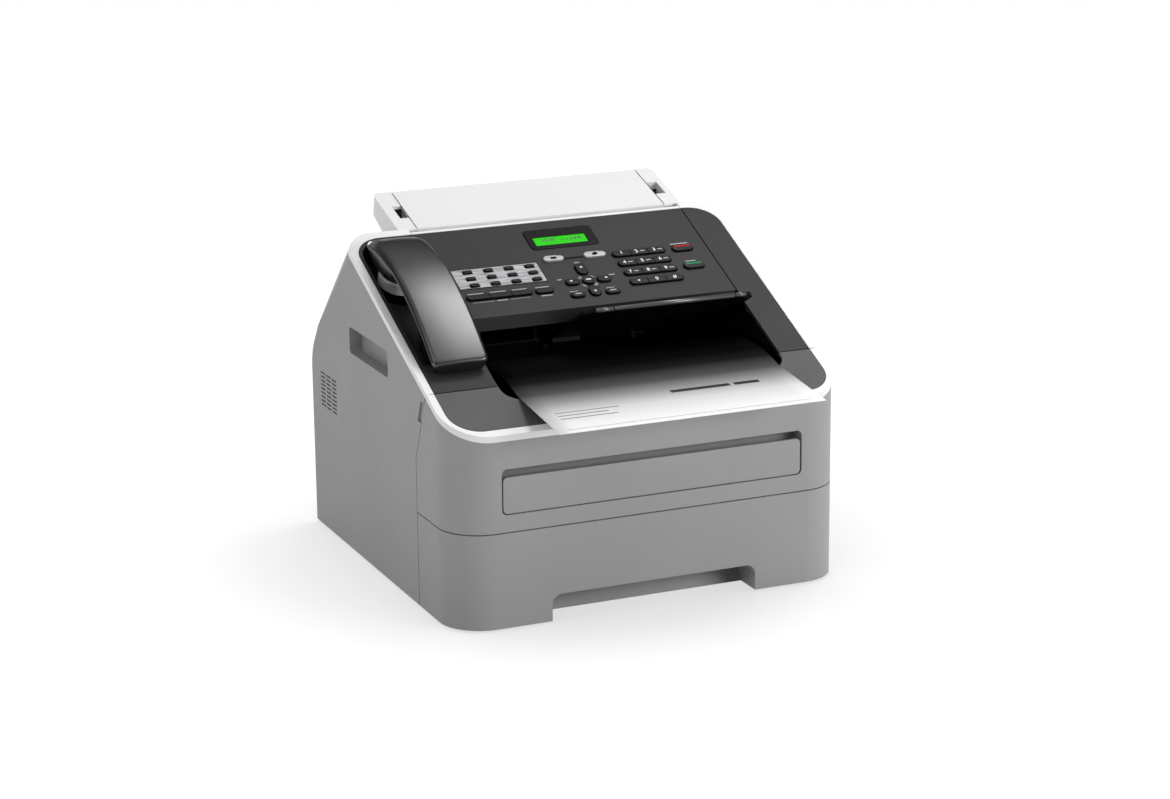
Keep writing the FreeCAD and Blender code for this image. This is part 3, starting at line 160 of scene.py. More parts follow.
def streaked(name):
    """Silvery card with short faint streaks along its length."""
    made, tree, shader = material(name)
    mapping = tree.nodes.new("ShaderNodeMapping")
    mapping.inputs["Scale"].default_value = STREAK_SCALE
    tree.links.new(position(tree), mapping.inputs["Vector"])
    streaks = noise(tree, mapping.outputs["Vector"], 1.0, STREAK_DETAIL)
    tree.links.new(between(tree, streaks, *STREAK_TONES), shader.inputs["Base Color"])
    shader.inputs["Roughness"].default_value = CARD_ROUGHNESS
    shader.inputs["Metallic"].default_value = CARD_METAL
    return made


PAGE_FRONT = -0.228
PAGE_DARK = -0.098
# painted shade on the page: the share of the way from the page's front to where it is dark, and the tone
# there
PAGE_PAINTED_SHADE = (
    (0.0, 1.0), (0.1, 0.98), (0.315, 0.76), (0.508, 0.33), (0.67, 0.085), (0.82, 0.01), (0.95, 0.001),
)
FIBRE_TONES = ((0.88, 0.88, 0.88), (0.93, 0.93, 0.93))
FIBRE_SCALE = 900.0
FIBRE_DETAIL = 3.0
PAPER_GRAIN = 2500.0
PAPER_RELIEF = 0.08
PAPER_DEPTH = 0.00003
PAPER_ROUGHNESS = 0.8
PAPER_SHINE = 0.03


def page(name):
    """White paper with faint fibres and a painted shade that darkens it towards the page's head, where it
    runs into the shaded bay.
    """
    made, tree, shader = material(name)
    where = position(tree)
    split = tree.nodes.new("ShaderNodeSeparateXYZ")
    tree.links.new(where, split.inputs["Vector"])
    along = tree.nodes.new("ShaderNodeMapRange")
    along.inputs["From Min"].default_value = PAGE_FRONT
    along.inputs["From Max"].default_value = PAGE_DARK
    tree.links.new(split.outputs["Y"], along.inputs["Value"])
    # painted shade: this ramp darkens the page's colour towards its head
    tone = tree.nodes.new("ShaderNodeValToRGB")
    for place, level in PAGE_PAINTED_SHADE[1:-1]:
        tone.color_ramp.elements.new(place)
    for element, (place, level) in zip(tone.color_ramp.elements, PAGE_PAINTED_SHADE):
        element.position = place
        element.color = (level, level, level, 1.0)
    tree.links.new(along.outputs["Result"], tone.inputs["Fac"])
    fibres = between(tree, noise(tree, where, FIBRE_SCALE, FIBRE_DETAIL), *FIBRE_TONES)
    mixed = tree.nodes.new("ShaderNodeMix")
    mixed.data_type = "RGBA"
    mixed.blend_type = "MULTIPLY"
    mixed.inputs["Factor"].default_value = 1.0
    tree.links.new(fibres, mixed.inputs[6])
    tree.links.new(tone.outputs["Color"], mixed.inputs[7])
    tree.links.new(mixed.outputs[2], shader.inputs["Base Color"])
    bump(tree, shader, noise(tree, where, PAPER_GRAIN), PAPER_RELIEF, PAPER_DEPTH)
    shader.inputs["Roughness"].default_value = PAPER_ROUGHNESS
    shader.inputs["Specular IOR Level"].default_value = PAPER_SHINE
    return made


# Each plastic: colour, roughness, and what differs from the defaults of plastic()
CAD_PLASTICS = {
    "body_grey": ((0.285, 0.288, 0.292), 0.5, {"spread": 0.03, "relief": 0.14, "shine": 0.4}),
    "white_trim": ((0.78, 0.78, 0.785), 0.42, {"spread": 0.015}),
    "dark_panel": (
        (0.026, 0.026, 0.027), 0.45, {"spread": 0.06, "grain": 1800.0, "relief": 0.08, "shine": 0.15},
    ),
    "deck_grey": ((0.085, 0.085, 0.087), 0.5, {"grain": 2400.0, "shine": 0.2}),
    "handset_dark": (
        (0.008, 0.008, 0.0085), 0.3, {"spread": 0.06, "grain": 1500.0, "relief": 0.03, "shine": 0.85},
    ),
    "black_plastic": (
        (0.004, 0.004, 0.0042), 0.4, {"spread": 0.1, "grain": 2400.0, "relief": 0.1, "shine": 0.12},
    ),
    "silver_plastic": ((0.9, 0.91, 0.93), 0.28, {"spread": 0.03, "grain": 3000.0, "relief": 0.1}),
    "key_black": (
        (0.0035, 0.0035, 0.004), 0.3, {"spread": 0.1, "grain": 2400.0, "relief": 0.06, "shine": 0.14},
    ),
    "display_black": (
        (0.003, 0.003, 0.003), 0.22, {"spread": 0.1, "grain": 900.0, "relief": 0.02, "shine": 0.12},
    ),
    "engine_dark": ((0.012, 0.012, 0.0125), 0.55, {"spread": 0.08, "shine": 0.2}),
    "frame_grey": ((0.16, 0.16, 0.165), 0.55, {}),
    "roller_rubber": (
        (0.012, 0.012, 0.012), 0.7, {"spread": 0.12, "grain": 1500.0, "relief": 0.3, "shine": 0.2},
    ),
    "foot_rubber": ((0.012, 0.012, 0.012), 0.75, {"spread": 0.12, "grain": 1500.0, "relief": 0.3}),
    "steel": ((0.5, 0.5, 0.51), 0.35, {"spread": 0.06, "grain": 1200.0, "relief": 0.1, "metallic": 0.9}),
    "board_green": ((0.01, 0.09, 0.035), 0.45, {"spread": 0.1}),
}
EXTRA_PLASTICS = {
    "print_white": ((0.84, 0.84, 0.84), 0.5, {"spread": 0.04}),
    "print_grey": ((0.42, 0.42, 0.425), 0.5, {}),
    "ring_grey": ((0.16, 0.16, 0.165), 0.45, {}),
    "key_silver": ((0.36, 0.365, 0.375), 0.32, {"grain": 3000.0, "relief": 0.1, "metallic": 0.3}),
    "bar_gloss": ((0.06, 0.06, 0.062), 0.26, {"spread": 0.1, "grain": 2400.0, "relief": 0.03, "shine": 1.0}),
    # painted shade: this dark colour marks the feeder's shadow lines and the shade inside the finger notches
    "seam_and_shade_dark": ((0.03, 0.03, 0.031), 0.6, {"spread": 0.1, "relief": 0.1, "shine": 0.1}),
    "print_dark": ((0.002, 0.002, 0.0022), 0.5, {"spread": 0.1, "relief": 0.1, "shine": 0.06}),
    "stop_red": ((0.34, 0.006, 0.008), 0.4, {"spread": 0.06, "relief": 0.1, "shine": 0.12}),
    "start_green": ((0.006, 0.2, 0.06), 0.4, {"spread": 0.06, "relief": 0.1, "shine": 0.12}),
    "screen_pixel": ((0.012, 0.09, 0.006), 0.4, {"spread": 0.1}),
    "page_ink": ((0.03, 0.03, 0.031), 0.7, {"spread": 0.1, "relief": 0.05, "shine": 0.2}),
    "page_line": ((0.3, 0.3, 0.3), 0.7, {"relief": 0.05, "shine": 0.2}),
}
LOOKS = {}
for table in (CAD_PLASTICS, EXTRA_PLASTICS):
    for name, (colour, roughness, rest) in table.items():
        LOOKS[name] = plastic(name, colour, roughness, **rest)
LOOKS["display_green"] = glowing("display_green")
LOOKS["label_silver"] = streaked("label_silver")
# the paper's colour carries a painted shade that darkens it towards the page's head
LOOKS["paper"] = page("paper")

for entry in frame["record"]["subparts"]:
    node = nodes[entry["node"]]
    node.data.materials.clear()
    node.data.materials.append(LOOKS[entry["material_slot"]])
for name in ("fax_mode_key", "copy_mode_key"):
    nodes[name].data.materials[0] = LOOKS["key_silver"]

# Makers of pieces


def mesh_piece(name, points, faces, look, body, where=FACE):
    """A piece on a body, from points in metres in the face's frame or another."""
    data = bpy.data.meshes.new(name)
    data.from_pydata([where @ Vector(point) for point in points], [], faces)
    data.update()
    data.materials.append(LOOKS[look])
    piece = bpy.data.objects.new(name, data)
    bpy.context.scene.collection.objects.link(piece)
    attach(piece, body)
    return piece


BOX_FACES = ((0, 2, 3, 1), (4, 5, 7, 6), (0, 1, 5, 4), (2, 6, 7, 3), (0, 4, 6, 2), (1, 3, 7, 5))


def boxes(name, items, look, body, where=FACE):
    """One piece made of flat boxes, each given as x, u and n ranges in millimetres."""
    points = []
    faces = []
    for x, u, n in items:
        first = len(points)
        points += [(a * MM, b * MM, c * MM) for c in n for b in u for a in x]
        faces += [tuple(first + i for i in quad) for quad in BOX_FACES]
    return mesh_piece(name, points, faces, look, body, where)


SIGN_THICK = 0.00004
SIGN_WEIGHT = 0.00012


def words(name, text, x, u, n, size, look, body):
    """A plain numeral or sign, printed as a thin flat solid."""
    curve = bpy.data.curves.new(name, "FONT")
    curve.body = text
    curve.size = size * MM
    curve.align_x = "CENTER"
    curve.align_y = "CENTER"
    curve.extrude = SIGN_THICK
    curve.offset = SIGN_WEIGHT
    curve.resolution_u = 3
    curve.materials.append(LOOKS[look])
    made = bpy.data.objects.new(name, curve)
    bpy.context.scene.collection.objects.link(made)
    made.matrix_world = FACE @ Matrix.Translation((x * MM, u * MM, n * MM))
    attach(made, body)


def closed_rows(rows):
    """Points and faces of a closed form that runs through rows of equally many points."""
    wide = len(rows[0])
    points = [point for row in rows for point in row]
    faces = [tuple(range(wide)), tuple(range(len(points) - 1, len(points) - wide - 1, -1))]
    for row in range(len(rows) - 1):
        for i in range(wide):
            j = (i + 1) % wide
            faces.append((row * wide + i, (row + 1) * wide + i, (row + 1) * wide + j, row * wide + j))
    return points, faces


def smooth(piece, angle):
    """Smooth shading that keeps edges sharper than the angle, in degrees."""
    for polygon in piece.data.polygons:
        polygon.use_smooth = True
    split = piece.modifiers.new("edges", "EDGE_SPLIT")
    split.split_angle = math.radians(angle)


# Key caps: numerals, arrows and stripes

KEY_TOP = 2.2
MARK_THICK = 0.08
NUMBER_FIRST = 61.4
NUMBER_PITCH = 17.6
NUMBER_SIZE = 5.8
NUMBER_ROWS = (
    ("number_row_one", 26.05, ("1", "2", "3")),
    ("number_row_two", 11.92, ("4", "5", "6")),
    ("number_row_three", -2.21, ("7", "8", "9")),
    ("number_row_four", -16.34, ("*", "0", "#")),
)
SIGNS_ALONE = "1*0#"
SIGN_SHIFT = 2.6
SIGN_LIFT = 0.05
STAR_DROP = 1.0
BESIDE_X = (0.9, 5.4)
BESIDE_U = (-0.6, 0.5)
for body, u, signs in NUMBER_ROWS:
    bars = []
    for column, sign in enumerate(signs):
        x = NUMBER_FIRST + NUMBER_PITCH * column
        alone = sign in SIGNS_ALONE
        sign_x = x if alone else x - SIGN_SHIFT
        sign_u = u - STAR_DROP if sign == "*" else u
        name = f"{body}_sign_{column}"
        words(name, sign, sign_x, sign_u, KEY_TOP + SIGN_LIFT, NUMBER_SIZE, "print_white", body)
        if not alone:
            across = [x + edge for edge in BESIDE_X]
            bars.append((across, [u + edge for edge in BESIDE_U], (KEY_TOP, KEY_TOP + MARK_THICK)))
    if bars:
        boxes(f"{body}_marks", bars, "print_grey", body)

OK_KEY = (15.6, -6.9)
ARROW_X = (-1.2, 32.6)
ARROW_U = (-24.0, 11.5)
ARROW_SIZE = 1.7


def arrow(name, x, u, turn, body):
    """A small raised triangle whose tip is turned from the right, in degrees."""
    points = []
    for n in (KEY_TOP, KEY_TOP + MARK_THICK):
        for corner in (0.0, 120.0, 240.0):
            angle = math.radians(turn + corner)
            tip = (x + ARROW_SIZE * math.cos(angle), u + ARROW_SIZE * math.sin(angle), n)
            points.append(tuple(c * MM for c in tip))
    faces = [(2, 1, 0), (3, 4, 5), (0, 1, 4, 3), (1, 2, 5, 4), (2, 0, 3, 5)]
    mesh_piece(name, points, faces, "print_white", body)


arrow("up_arrow", OK_KEY[0], ARROW_U[1], 90.0, "up_key")
arrow("down_arrow", OK_KEY[0], ARROW_U[0], 270.0, "down_key")
arrow("left_arrow", ARROW_X[0], OK_KEY[1], 180.0, "left_key")
arrow("right_arrow", ARROW_X[1], OK_KEY[1], 0.0, "right_key")

STRIPE_THICK = 0.1
# name, body, look, x, u and thickness
KEY_MARKS = (
    ("ok_mark", "ok_key", "print_white", (13.2, 18.0), (-7.6, -6.2), MARK_THICK),
    ("clear_mark", "clear_key", "print_grey", (-4.6, 1.4), (-26.2, -25.0), MARK_THICK),
    ("menu_mark", "menu_key", "print_grey", (29.2, 35.2), (-26.2, -25.0), MARK_THICK),
    ("stop_stripe", "stop_key", "stop_red", (114.6, 130.4), (25.9, 28.3), STRIPE_THICK),
    ("start_stripe", "start_key", "start_green", (114.8, 130.4), (-1.0, 1.4), STRIPE_THICK),
    ("fax_mark", "fax_mode_key", "print_dark", (-7.2, -1.6), (27.2, 30.2), MARK_THICK),
)
for name, body, look, x, u, thick in KEY_MARKS:
    boxes(name, [(x, u, (KEY_TOP, KEY_TOP + thick))], look, body)
COPY_LAYER = KEY_TOP + MARK_THICK
COPY_TOP = COPY_LAYER + 0.06
boxes(
    "copy_mark",
    [
        ((33.6, 36.8), (26.9, 30.5), (KEY_TOP, COPY_LAYER)),
        ((35.4, 38.6), (27.5, 31.1), (COPY_LAYER, COPY_TOP)),
    ],
    "print_dark", "copy_mode_key",
)

# Silver card round the speed keys, as strips between its holes, with a dark edge

CARD_X = (-104.0, -21.5)
CARD_U = (-0.25, 27.35)
CARD_LAYER = (0.0, 0.16)
CARD_EDGE_X = -20.9
CARD_EDGE_U = 0.75
CARD_EDGE_LAYER = (0.0, 0.3)
HOLE_HALF = (4.9, 2.6)
HOLE_FIRST = (-89.5, 22.7)
HOLE_PITCH = (19.85, 9.77)
hole_x = [HOLE_FIRST[0] + HOLE_PITCH[0] * column for column in range(4)]
hole_u = [HOLE_FIRST[1] - HOLE_PITCH[1] * row for row in range(3)]
edges_x = [CARD_X[0]] + [x + side * HOLE_HALF[0] for x in hole_x for side in (-1, 1)] + [CARD_X[1]]
edges_u = [CARD_U[1]] + [u - side * HOLE_HALF[1] for u in hole_u for side in (-1, 1)] + [CARD_U[0]]
card = [(CARD_X, (low, high), CARD_LAYER) for high, low in zip(edges_u[0::2], edges_u[1::2])]
for u in hole_u:
    for strip in zip(edges_x[0::2], edges_x[1::2]):
        card.append((strip, (u - HOLE_HALF[1], u + HOLE_HALF[1]), CARD_LAYER))
boxes("name_card", card, "label_silver", "control_panel")
boxes(
    "card_edge",
    [
        ((CARD_X[0], CARD_EDGE_X), (CARD_U[1], CARD_U[1] + CARD_EDGE_U), CARD_EDGE_LAYER),
        ((CARD_X[0], CARD_EDGE_X), (CARD_U[0] - CARD_EDGE_U, CARD_U[0]), CARD_EDGE_LAYER),
        ((CARD_X[1], CARD_EDGE_X), CARD_U, CARD_EDGE_LAYER),
    ],
    "print_dark", "control_panel",
)

# Line between the mode keys, plain bars for the legends, and the ring round the OK key

MODE_LINE = ((6.3, 24.6), (27.6, 29.8), (0.0, 0.2))
boxes("mode_line", [MODE_LINE], "print_dark", "control_panel")
LEGEND_LAYER = (0.0, 0.06)
LEGEND_HALF = 0.55
# middle in x and u, and width
LEGENDS = (
    (-93.0, -8.2, 15.0), (-72.0, -8.2, 15.5), (-51.5, -8.2, 14.0), (-29.8, -8.6, 13.0), (-4.4, 34.6, 11.0),
    (36.1, 34.6, 13.0), (15.6, 21.0, 5.0), (-10.0, -1.0, 4.5), (41.0, -1.0, 6.0), (-3.0, -19.6, 8.0),
    (32.2, -19.6, 8.0), (122.5, 33.4, 17.0), (122.6, 6.4, 10.0), (-72.0, -20.6, 10.0), (-29.8, -20.8, 11.0),
)
legends = []
for x, u, wide in LEGENDS:
    legends.append(((x - wide / 2, x + wide / 2), (u - LEGEND_HALF, u + LEGEND_HALF), LEGEND_LAYER))
boxes("legend_marks", legends, "print_grey", "control_panel")
RULES_X = ((-100.0, -79.5), (-64.5, -45.0))
RULE_U = (-20.8, -20.4)
rules = [(x, RULE_U, LEGEND_LAYER) for x in RULES_X]
boxes("legend_rules", rules, "print_grey", "control_panel")

RING_RADII = (6.6, 9.4)
RING_LAYER = (0.0, 0.14)
RING_SPAN = (30.0, 60.0)
RING_STEPS = 8


def ring_part(name, first, last):
    """A flat piece of ring round the OK key, between two angles in degrees."""
    points = []
    faces = []
    for i in range(RING_STEPS + 1):
        angle = math.radians(first + (last - first) * i / RING_STEPS)
        for n in RING_LAYER:
            for radius in RING_RADII:
                place = (OK_KEY[0] + radius * math.cos(angle), OK_KEY[1] + radius * math.sin(angle), n)
                points.append(tuple(c * MM for c in place))
    for i in range(RING_STEPS):
        a = 4 * i
        b = a + 4
        faces += [(a, b, b + 1, a + 1), (a + 2, a + 3, b + 3, b + 2)]
        faces += [(a, a + 2, b + 2, b), (a + 1, b + 1, b + 3, a + 3)]
    end = 4 * RING_STEPS
    faces += [(0, 1, 3, 2), (end, end + 2, end + 3, end + 1)]
    mesh_piece(name, points, faces, "ring_grey", "control_panel")


for quarter in range(4):
    ring_part(f"ring_part_{quarter}", 90.0 * quarter + RING_SPAN[0], 90.0 * quarter + RING_SPAN[1])

# Glossy bar along the front edge of the exit flap and its extension

FLAP_AXIS = (0.008, FACE_ZERO - 0.0578)
FLAP_SLOPE = math.radians(28.0)
BAR_REACH = 0.0984
BAR_RADIUS = 0.00212
BAR_STEPS = 20
BAR_Y = FLAP_AXIS[0] - BAR_REACH * math.cos(FLAP_SLOPE)
BAR_Z = FLAP_AXIS[1] + BAR_REACH * math.sin(FLAP_SLOPE)


def bar(name, x, body):
    rows = []
    for a in x:
        angles = [-2.0 * math.pi * i / BAR_STEPS for i in range(BAR_STEPS)]
        rows.append([(a, BAR_Y + BAR_RADIUS * math.cos(t), BAR_Z + BAR_RADIUS * math.sin(t)) for t in angles])
    piece = mesh_piece(name, *closed_rows(rows), "bar_gloss", body, WORLD)
    for polygon in piece.data.polygons:
        polygon.use_smooth = len(polygon.vertices) == 4


BARS = (
    ("extension_bar", (0.0082, 0.1248), "exit_flap_extension"),
    ("flap_bar_left", (-0.0093, 0.0072), "exit_flap"),
    ("flap_bar_right", (0.1258, 0.1358), "exit_flap"),
)
for name, x, body in BARS:
    bar(name, x, body)

# Document feeder: thin painted shadow lines beside the fold-out plate, and dark sheets of painted shade in
# the finger notches

FEED_START = 0.0865
FEED_STEP = 0.00185
FEED_RISE = 0.0224 / 0.070
PLATE_Y = (0.0895, 0.1535)
LINE_THICK = 0.00012


def feed_height(y):
    """Height of the feeder's top at a depth y, in metres."""
    return face_height(FEED_START) - FEED_STEP + (y - FEED_START) * FEED_RISE


def feeder_strip(name, x):
    points = [(a, y, feed_height(y) + n) for y in PLATE_Y for a in x for n in (0.0, LINE_THICK)]
    faces = [(0, 2, 3, 1), (4, 5, 7, 6), (0, 4, 6, 2), (1, 3, 7, 5), (0, 1, 5, 4), (2, 6, 7, 3)]
    mesh_piece(name, points, faces, "seam_and_shade_dark", "chassis", WORLD)


LEFT_LINE_X = (-0.1106, -0.1100)
RIGHT_LINE_X = (0.1355, 0.1361)
feeder_strip("feeder_line_left", LEFT_LINE_X)
feeder_strip("feeder_line_right", RIGHT_LINE_X)

# the notches, in millimetres
LEFT_NOTCH = (-118.8, -110.0)
RIGHT_NOTCH = (135.5, 146.3)
NOTCH_Y = (109.2, 130.3)
NOTCH_SETBACK = 22.5
NOTCH_DEPTH = 10.0
LEFT_BACK = (-119.0, -110.0)
RIGHT_BACK = (135.5, 146.5)
NOTCH_BACK = (130.3, 130.5)
LEFT_BACK_TALL = 14.0
RIGHT_BACK_TALL = 10.0
SHADE_THICK = 0.2
notch_floor = feed_height(FEED_START + NOTCH_SETBACK * MM) / MM - NOTCH_DEPTH
floor_layer = (notch_floor, notch_floor + SHADE_THICK)
# painted shade: dark sheets on the floor and back wall of each finger notch, where the notch is shaded
boxes(
    "notch_painted_shade",
    [
        (LEFT_NOTCH, NOTCH_Y, floor_layer),
        (RIGHT_NOTCH, NOTCH_Y, floor_layer),
        (LEFT_BACK, NOTCH_BACK, (floor_layer[1], notch_floor + LEFT_BACK_TALL)),
        (RIGHT_BACK, NOTCH_BACK, (floor_layer[1], notch_floor + RIGHT_BACK_TALL)),
    ],
    "seam_and_shade_dark", "chassis", WORLD,
)

# Thin shadow lines along the seams of the top

LEFT_SEAM = (-177.0, -121.0)
RIGHT_SEAM = (147.3, 177.0)
SEAM_U = (-135.3, -134.5)
PANEL_SEAM = (147.3, 148.1)
PANEL_SEAM_U = (-47.0, 86.0)
RIM_SEAM_U = (-135.3, -134.7)
RIM_MIDDLE = 179.8
RIM_HALF = 2.5
SEAM_LAYER = (0.0, 0.06)
boxes(
    "top_seams",
    [
        (LEFT_SEAM, SEAM_U, SEAM_LAYER),
        (RIGHT_SEAM, SEAM_U, SEAM_LAYER),
        (PANEL_SEAM, PANEL_SEAM_U, SEAM_LAYER),
    ],
    "print_dark", "chassis",
)
boxes(
    "rim_seams",
    [((x - RIM_HALF, x + RIM_HALF), RIM_SEAM_U, SEAM_LAYER) for x in (-RIM_MIDDLE, RIM_MIDDLE)],
    "print_grey", "chassis",
)

# Handset: a crowned shell with a deep ear end, its base and ear cup, and the seat's bright band. The mouth
# end lies at low u, the ear end at high u. A change along u is its amount and where in u it starts and ends.

SHELL_X = (-171.0, -119.9)
SHELL_U = (-112.0, 79.5)
ARCH_TOP = (-5.0, 30.3)
ARCH_FALL = (624.0, 368.0)
EAR_FALL_START = 45.0
EAR_FALL = 120.0
EAR_TUCK = (2.6, 50.0, 66.0)
SIDE_DEPTH = 10.0
EAR_DEEPER = (14.5, -6.0, 34.0)
EAR_RAISED = (18.0, 44.0, 78.0)
EAR_PLAN = (20.0, 13.0)
MOUTH_PLAN = 5.0
EAR_EDGE = 3.0
MOUTH_EDGE = 2.0
TOP_EDGE = 4.2
TOP_EDGE_WIDER = (4.3, -60.0, 50.0)
TOP_EDGE_SHARE = 0.45
TOP_EDGE_STEPS = 8
LOW_EDGE = 1.2
LOW_EDGE_SHARE = 0.3
LOW_EDGE_STEPS = 3
LEAST_SIDE = 1.0
DRAFT = 2.6
DRAFT_DEPTH = 12.0
CROWN = 3.2
CROWN_STEPS = 6
SHELL_STEPS = 44
EAR_TURN = 6
MOUTH_TURN = 10


def rounded(radius, left):
    """How far a quarter round of this radius has drawn in, a given distance before its end."""
    reach = max(0.0, radius - left)
    return radius - math.sqrt(max(0.0, radius ** 2 - reach ** 2))


def change(u, amount, first, last):
    """An amount that comes in smoothly between two places along the handset."""
    share = min(1.0, max(0.0, (u - first) / (last - first)))
    return amount * share * share * (3.0 - 2.0 * share)


def arc(middle, radius, first, last, steps):
    """Points from one angle to another, in degrees."""
    angles = [math.radians(first + (last - first) * i / steps) for i in range(steps + 1)]
    return [(middle[0] + radius * math.cos(a), middle[1] + radius * math.sin(a)) for a in angles]


def arch(u):
    """Height of the shell's top along its middle, before its ends are rounded."""
    fall = ARCH_FALL[0] if u < ARCH_TOP[0] else ARCH_FALL[1]
    return ARCH_TOP[1] - (u - ARCH_TOP[0]) ** 2 / fall - max(0.0, u - EAR_FALL_START) ** 2 / EAR_FALL


def shell_section(u):
    """One closed loop of the shell: rounded top edges, sides that draw in downwards, a soft lower edge."""
    to_ear = SHELL_U[1] - u
    to_mouth = u - SHELL_U[0]
    left = SHELL_X[0] + rounded(EAR_PLAN[0], to_ear) + rounded(MOUTH_PLAN, to_mouth)
    right = SHELL_X[1] - change(u, *EAR_TUCK) - rounded(EAR_PLAN[1], to_ear) - rounded(MOUTH_PLAN, to_mouth)
    top = arch(u) - rounded(EAR_EDGE, to_ear) - rounded(MOUTH_EDGE, to_mouth)
    low = min(arch(u) - SIDE_DEPTH - change(u, *EAR_DEEPER) + change(u, *EAR_RAISED), top - LEAST_SIDE)
    room = TOP_EDGE_SHARE * min(top - low, right - left)
    edge = min(TOP_EDGE + change(u, *TOP_EDGE_WIDER), room)
    foot = min(LOW_EDGE, LOW_EDGE_SHARE * (top - low))
    draft = DRAFT * min(1.0, (top - low) / DRAFT_DEPTH)
    loop = arc((left + draft + foot, low + foot), foot, 270.0, 180.0, LOW_EDGE_STEPS)
    loop += arc((left + edge, top - edge), edge, 180.0, 90.0, TOP_EDGE_STEPS)
    for step in range(1, CROWN_STEPS):
        share = step / CROWN_STEPS
        across = left + edge + share * (right - left - 2.0 * edge)
        loop.append((across, top + CROWN * share * (1.0 - share)))
    loop += arc((right - edge, top - edge), edge, 90.0, 0.0, TOP_EDGE_STEPS)
    loop += arc((right - draft - foot, low + foot), foot, 0.0, -90.0, LOW_EDGE_STEPS)
    return [(x * MM, u * MM, n * MM) for x, n in reversed(loop)]


def shell_stations():
    """Places along the shell, closer together where its ends are rounded."""
    ear = [SHELL_U[1] - EAR_PLAN[0] * (1.0 - math.cos(math.radians(a))) for a in range(0, 91, EAR_TURN)]
    mouth = [SHELL_U[0] + MOUTH_PLAN * (1.0 - math.cos(math.radians(a))) for a in range(0, 91, MOUTH_TURN)]
    middle = [mouth[-1] + (ear[-1] - mouth[-1]) * i / SHELL_STEPS for i in range(1, SHELL_STEPS)]
    return mouth + middle + ear[::-1]


shell_rows = [shell_section(u) for u in shell_stations()]
shell = mesh_piece("handset_shell", *closed_rows(shell_rows), "handset_dark", "handset")
smooth(shell, 50.0)
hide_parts("handset_upper")

BASE_X = (-164.5, -124.5)
BASE_EDGE = 1.2
# u and n, from the ear end along the underside, round the mouthpiece, and back inside the shell
BASE_OUTLINE = (
    (66.0, 5.0), (62.0, 3.0), (38.0, 3.5), (22.0, 10.0), (10.0, 15.0), (-30.0, 13.0), (-58.0, 6.0),
    (-64.0, -9.0), (-66.5, -10.8), (-79.0, -11.0), (-82.5, -9.6), (-97.0, 2.0), (-110.0, 4.2),
    (-110.0, 7.0), (-80.0, 14.0), (-40.0, 20.0), (0.0, 22.0), (40.0, 15.0),
)


def softened(outline, share=0.3, steps=4):
    """The outline with each corner drawn into a short curve between points on its two sides."""
    soft = []
    for i, place in enumerate(outline):
        corner = Vector(place)
        before = corner.lerp(Vector(outline[i - 1]), share)
        after = corner.lerp(Vector(outline[(i + 1) % len(outline)]), share)
        for step in range(steps + 1):
            way = step / steps
            soft.append(before.lerp(corner, way).lerp(corner.lerp(after, way), way))
    return soft


base_sides = (
    (BASE_X[0], BASE_EDGE),
    (BASE_X[0] + BASE_EDGE, 0.0),
    (BASE_X[1] - BASE_EDGE, 0.0),
    (BASE_X[1], BASE_EDGE),
)
base_rows = []
for x, inset in base_sides:
    base_rows.append([(x * MM, u * MM, (n + inset) * MM) for u, n in softened(BASE_OUTLINE)])
base = mesh_piece("handset_base", *closed_rows(base_rows), "handset_dark", "handset")
smooth(base, 30.0)
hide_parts("handset_lower")

EAR_X = -144.2
EAR_U = 40.0
TURN_STEPS = 64


def turned(name, profile, look, body):
    """A ring or cup turned about the earpiece's axis, from the radius and n of points round its section."""
    angles = [2.0 * math.pi * i / TURN_STEPS for i in range(TURN_STEPS)]
    points = []
    for radius, n in profile:
        for a in angles:
            place = (EAR_X + radius * math.cos(a), EAR_U + radius * math.sin(a), n)
            points.append(tuple(c * MM for c in place))
    faces = []
    for row in range(len(profile)):
        this = row * TURN_STEPS
        other = (row + 1) % len(profile) * TURN_STEPS
        for i in range(TURN_STEPS):
            j = (i + 1) % TURN_STEPS
            faces.append((this + i, this + j, other + j, other + i))
    piece = mesh_piece(name, points, faces, look, body)
    smooth(piece, 35.0)
    return piece


CUP_PROFILE = (
    (12.5, -20.5), (13.0, -22.0), (16.0, -22.0), (17.0, -21.0), (17.2, -19.5), (17.2, 8.0), (12.5, 8.0),
)
BAND_PROFILE = (
    (18.0, -16.0), (20.4, -16.0), (20.7, -15.7), (20.7, -6.1), (20.1, -5.5), (18.6, -5.5), (18.0, -6.1),
)
FOOT_PROFILE = ((18.0, -26.0), (20.4, -26.0), (20.4, -16.1), (18.0, -16.1))
cup = turned("ear_cup", CUP_PROFILE, "handset_dark", "handset")
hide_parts("handset_lower")
band = turned("earpiece_band", BAND_PROFILE, "silver_plastic", "chassis")
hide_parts("earpiece_seat")
foot_ring = turned("earpiece_foot", FOOT_PROFILE, "black_plastic", "chassis")
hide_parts("earpiece_seat")

# Screen figures: a time and five rising bars

TIME_PLACE = (2.0, 57.6, 0.46)
TIME_SIZE = 6.4
words("screen_time", "10:30", *TIME_PLACE, TIME_SIZE, "screen_pixel", "control_panel")
SIGNAL_COUNT = 5
SIGNAL_X = 14.5
SIGNAL_PITCH = 4.2
SIGNAL_WIDE = 2.7
SIGNAL_U = 55.6
SIGNAL_TALL = 1.0
SIGNAL_RISE = 0.8
SIGNAL_LAYER = (0.4, 0.5)
signal = []
for i in range(SIGNAL_COUNT):
    x = SIGNAL_X + SIGNAL_PITCH * i
    top = SIGNAL_U + SIGNAL_TALL + SIGNAL_RISE * i
    signal.append(((x, x + SIGNAL_WIDE), (SIGNAL_U, top), SIGNAL_LAYER))
boxes("screen_bars", signal, "screen_pixel", "control_panel")

# The delivered sheet, in metres: one smooth page over the front cover and down into the bay

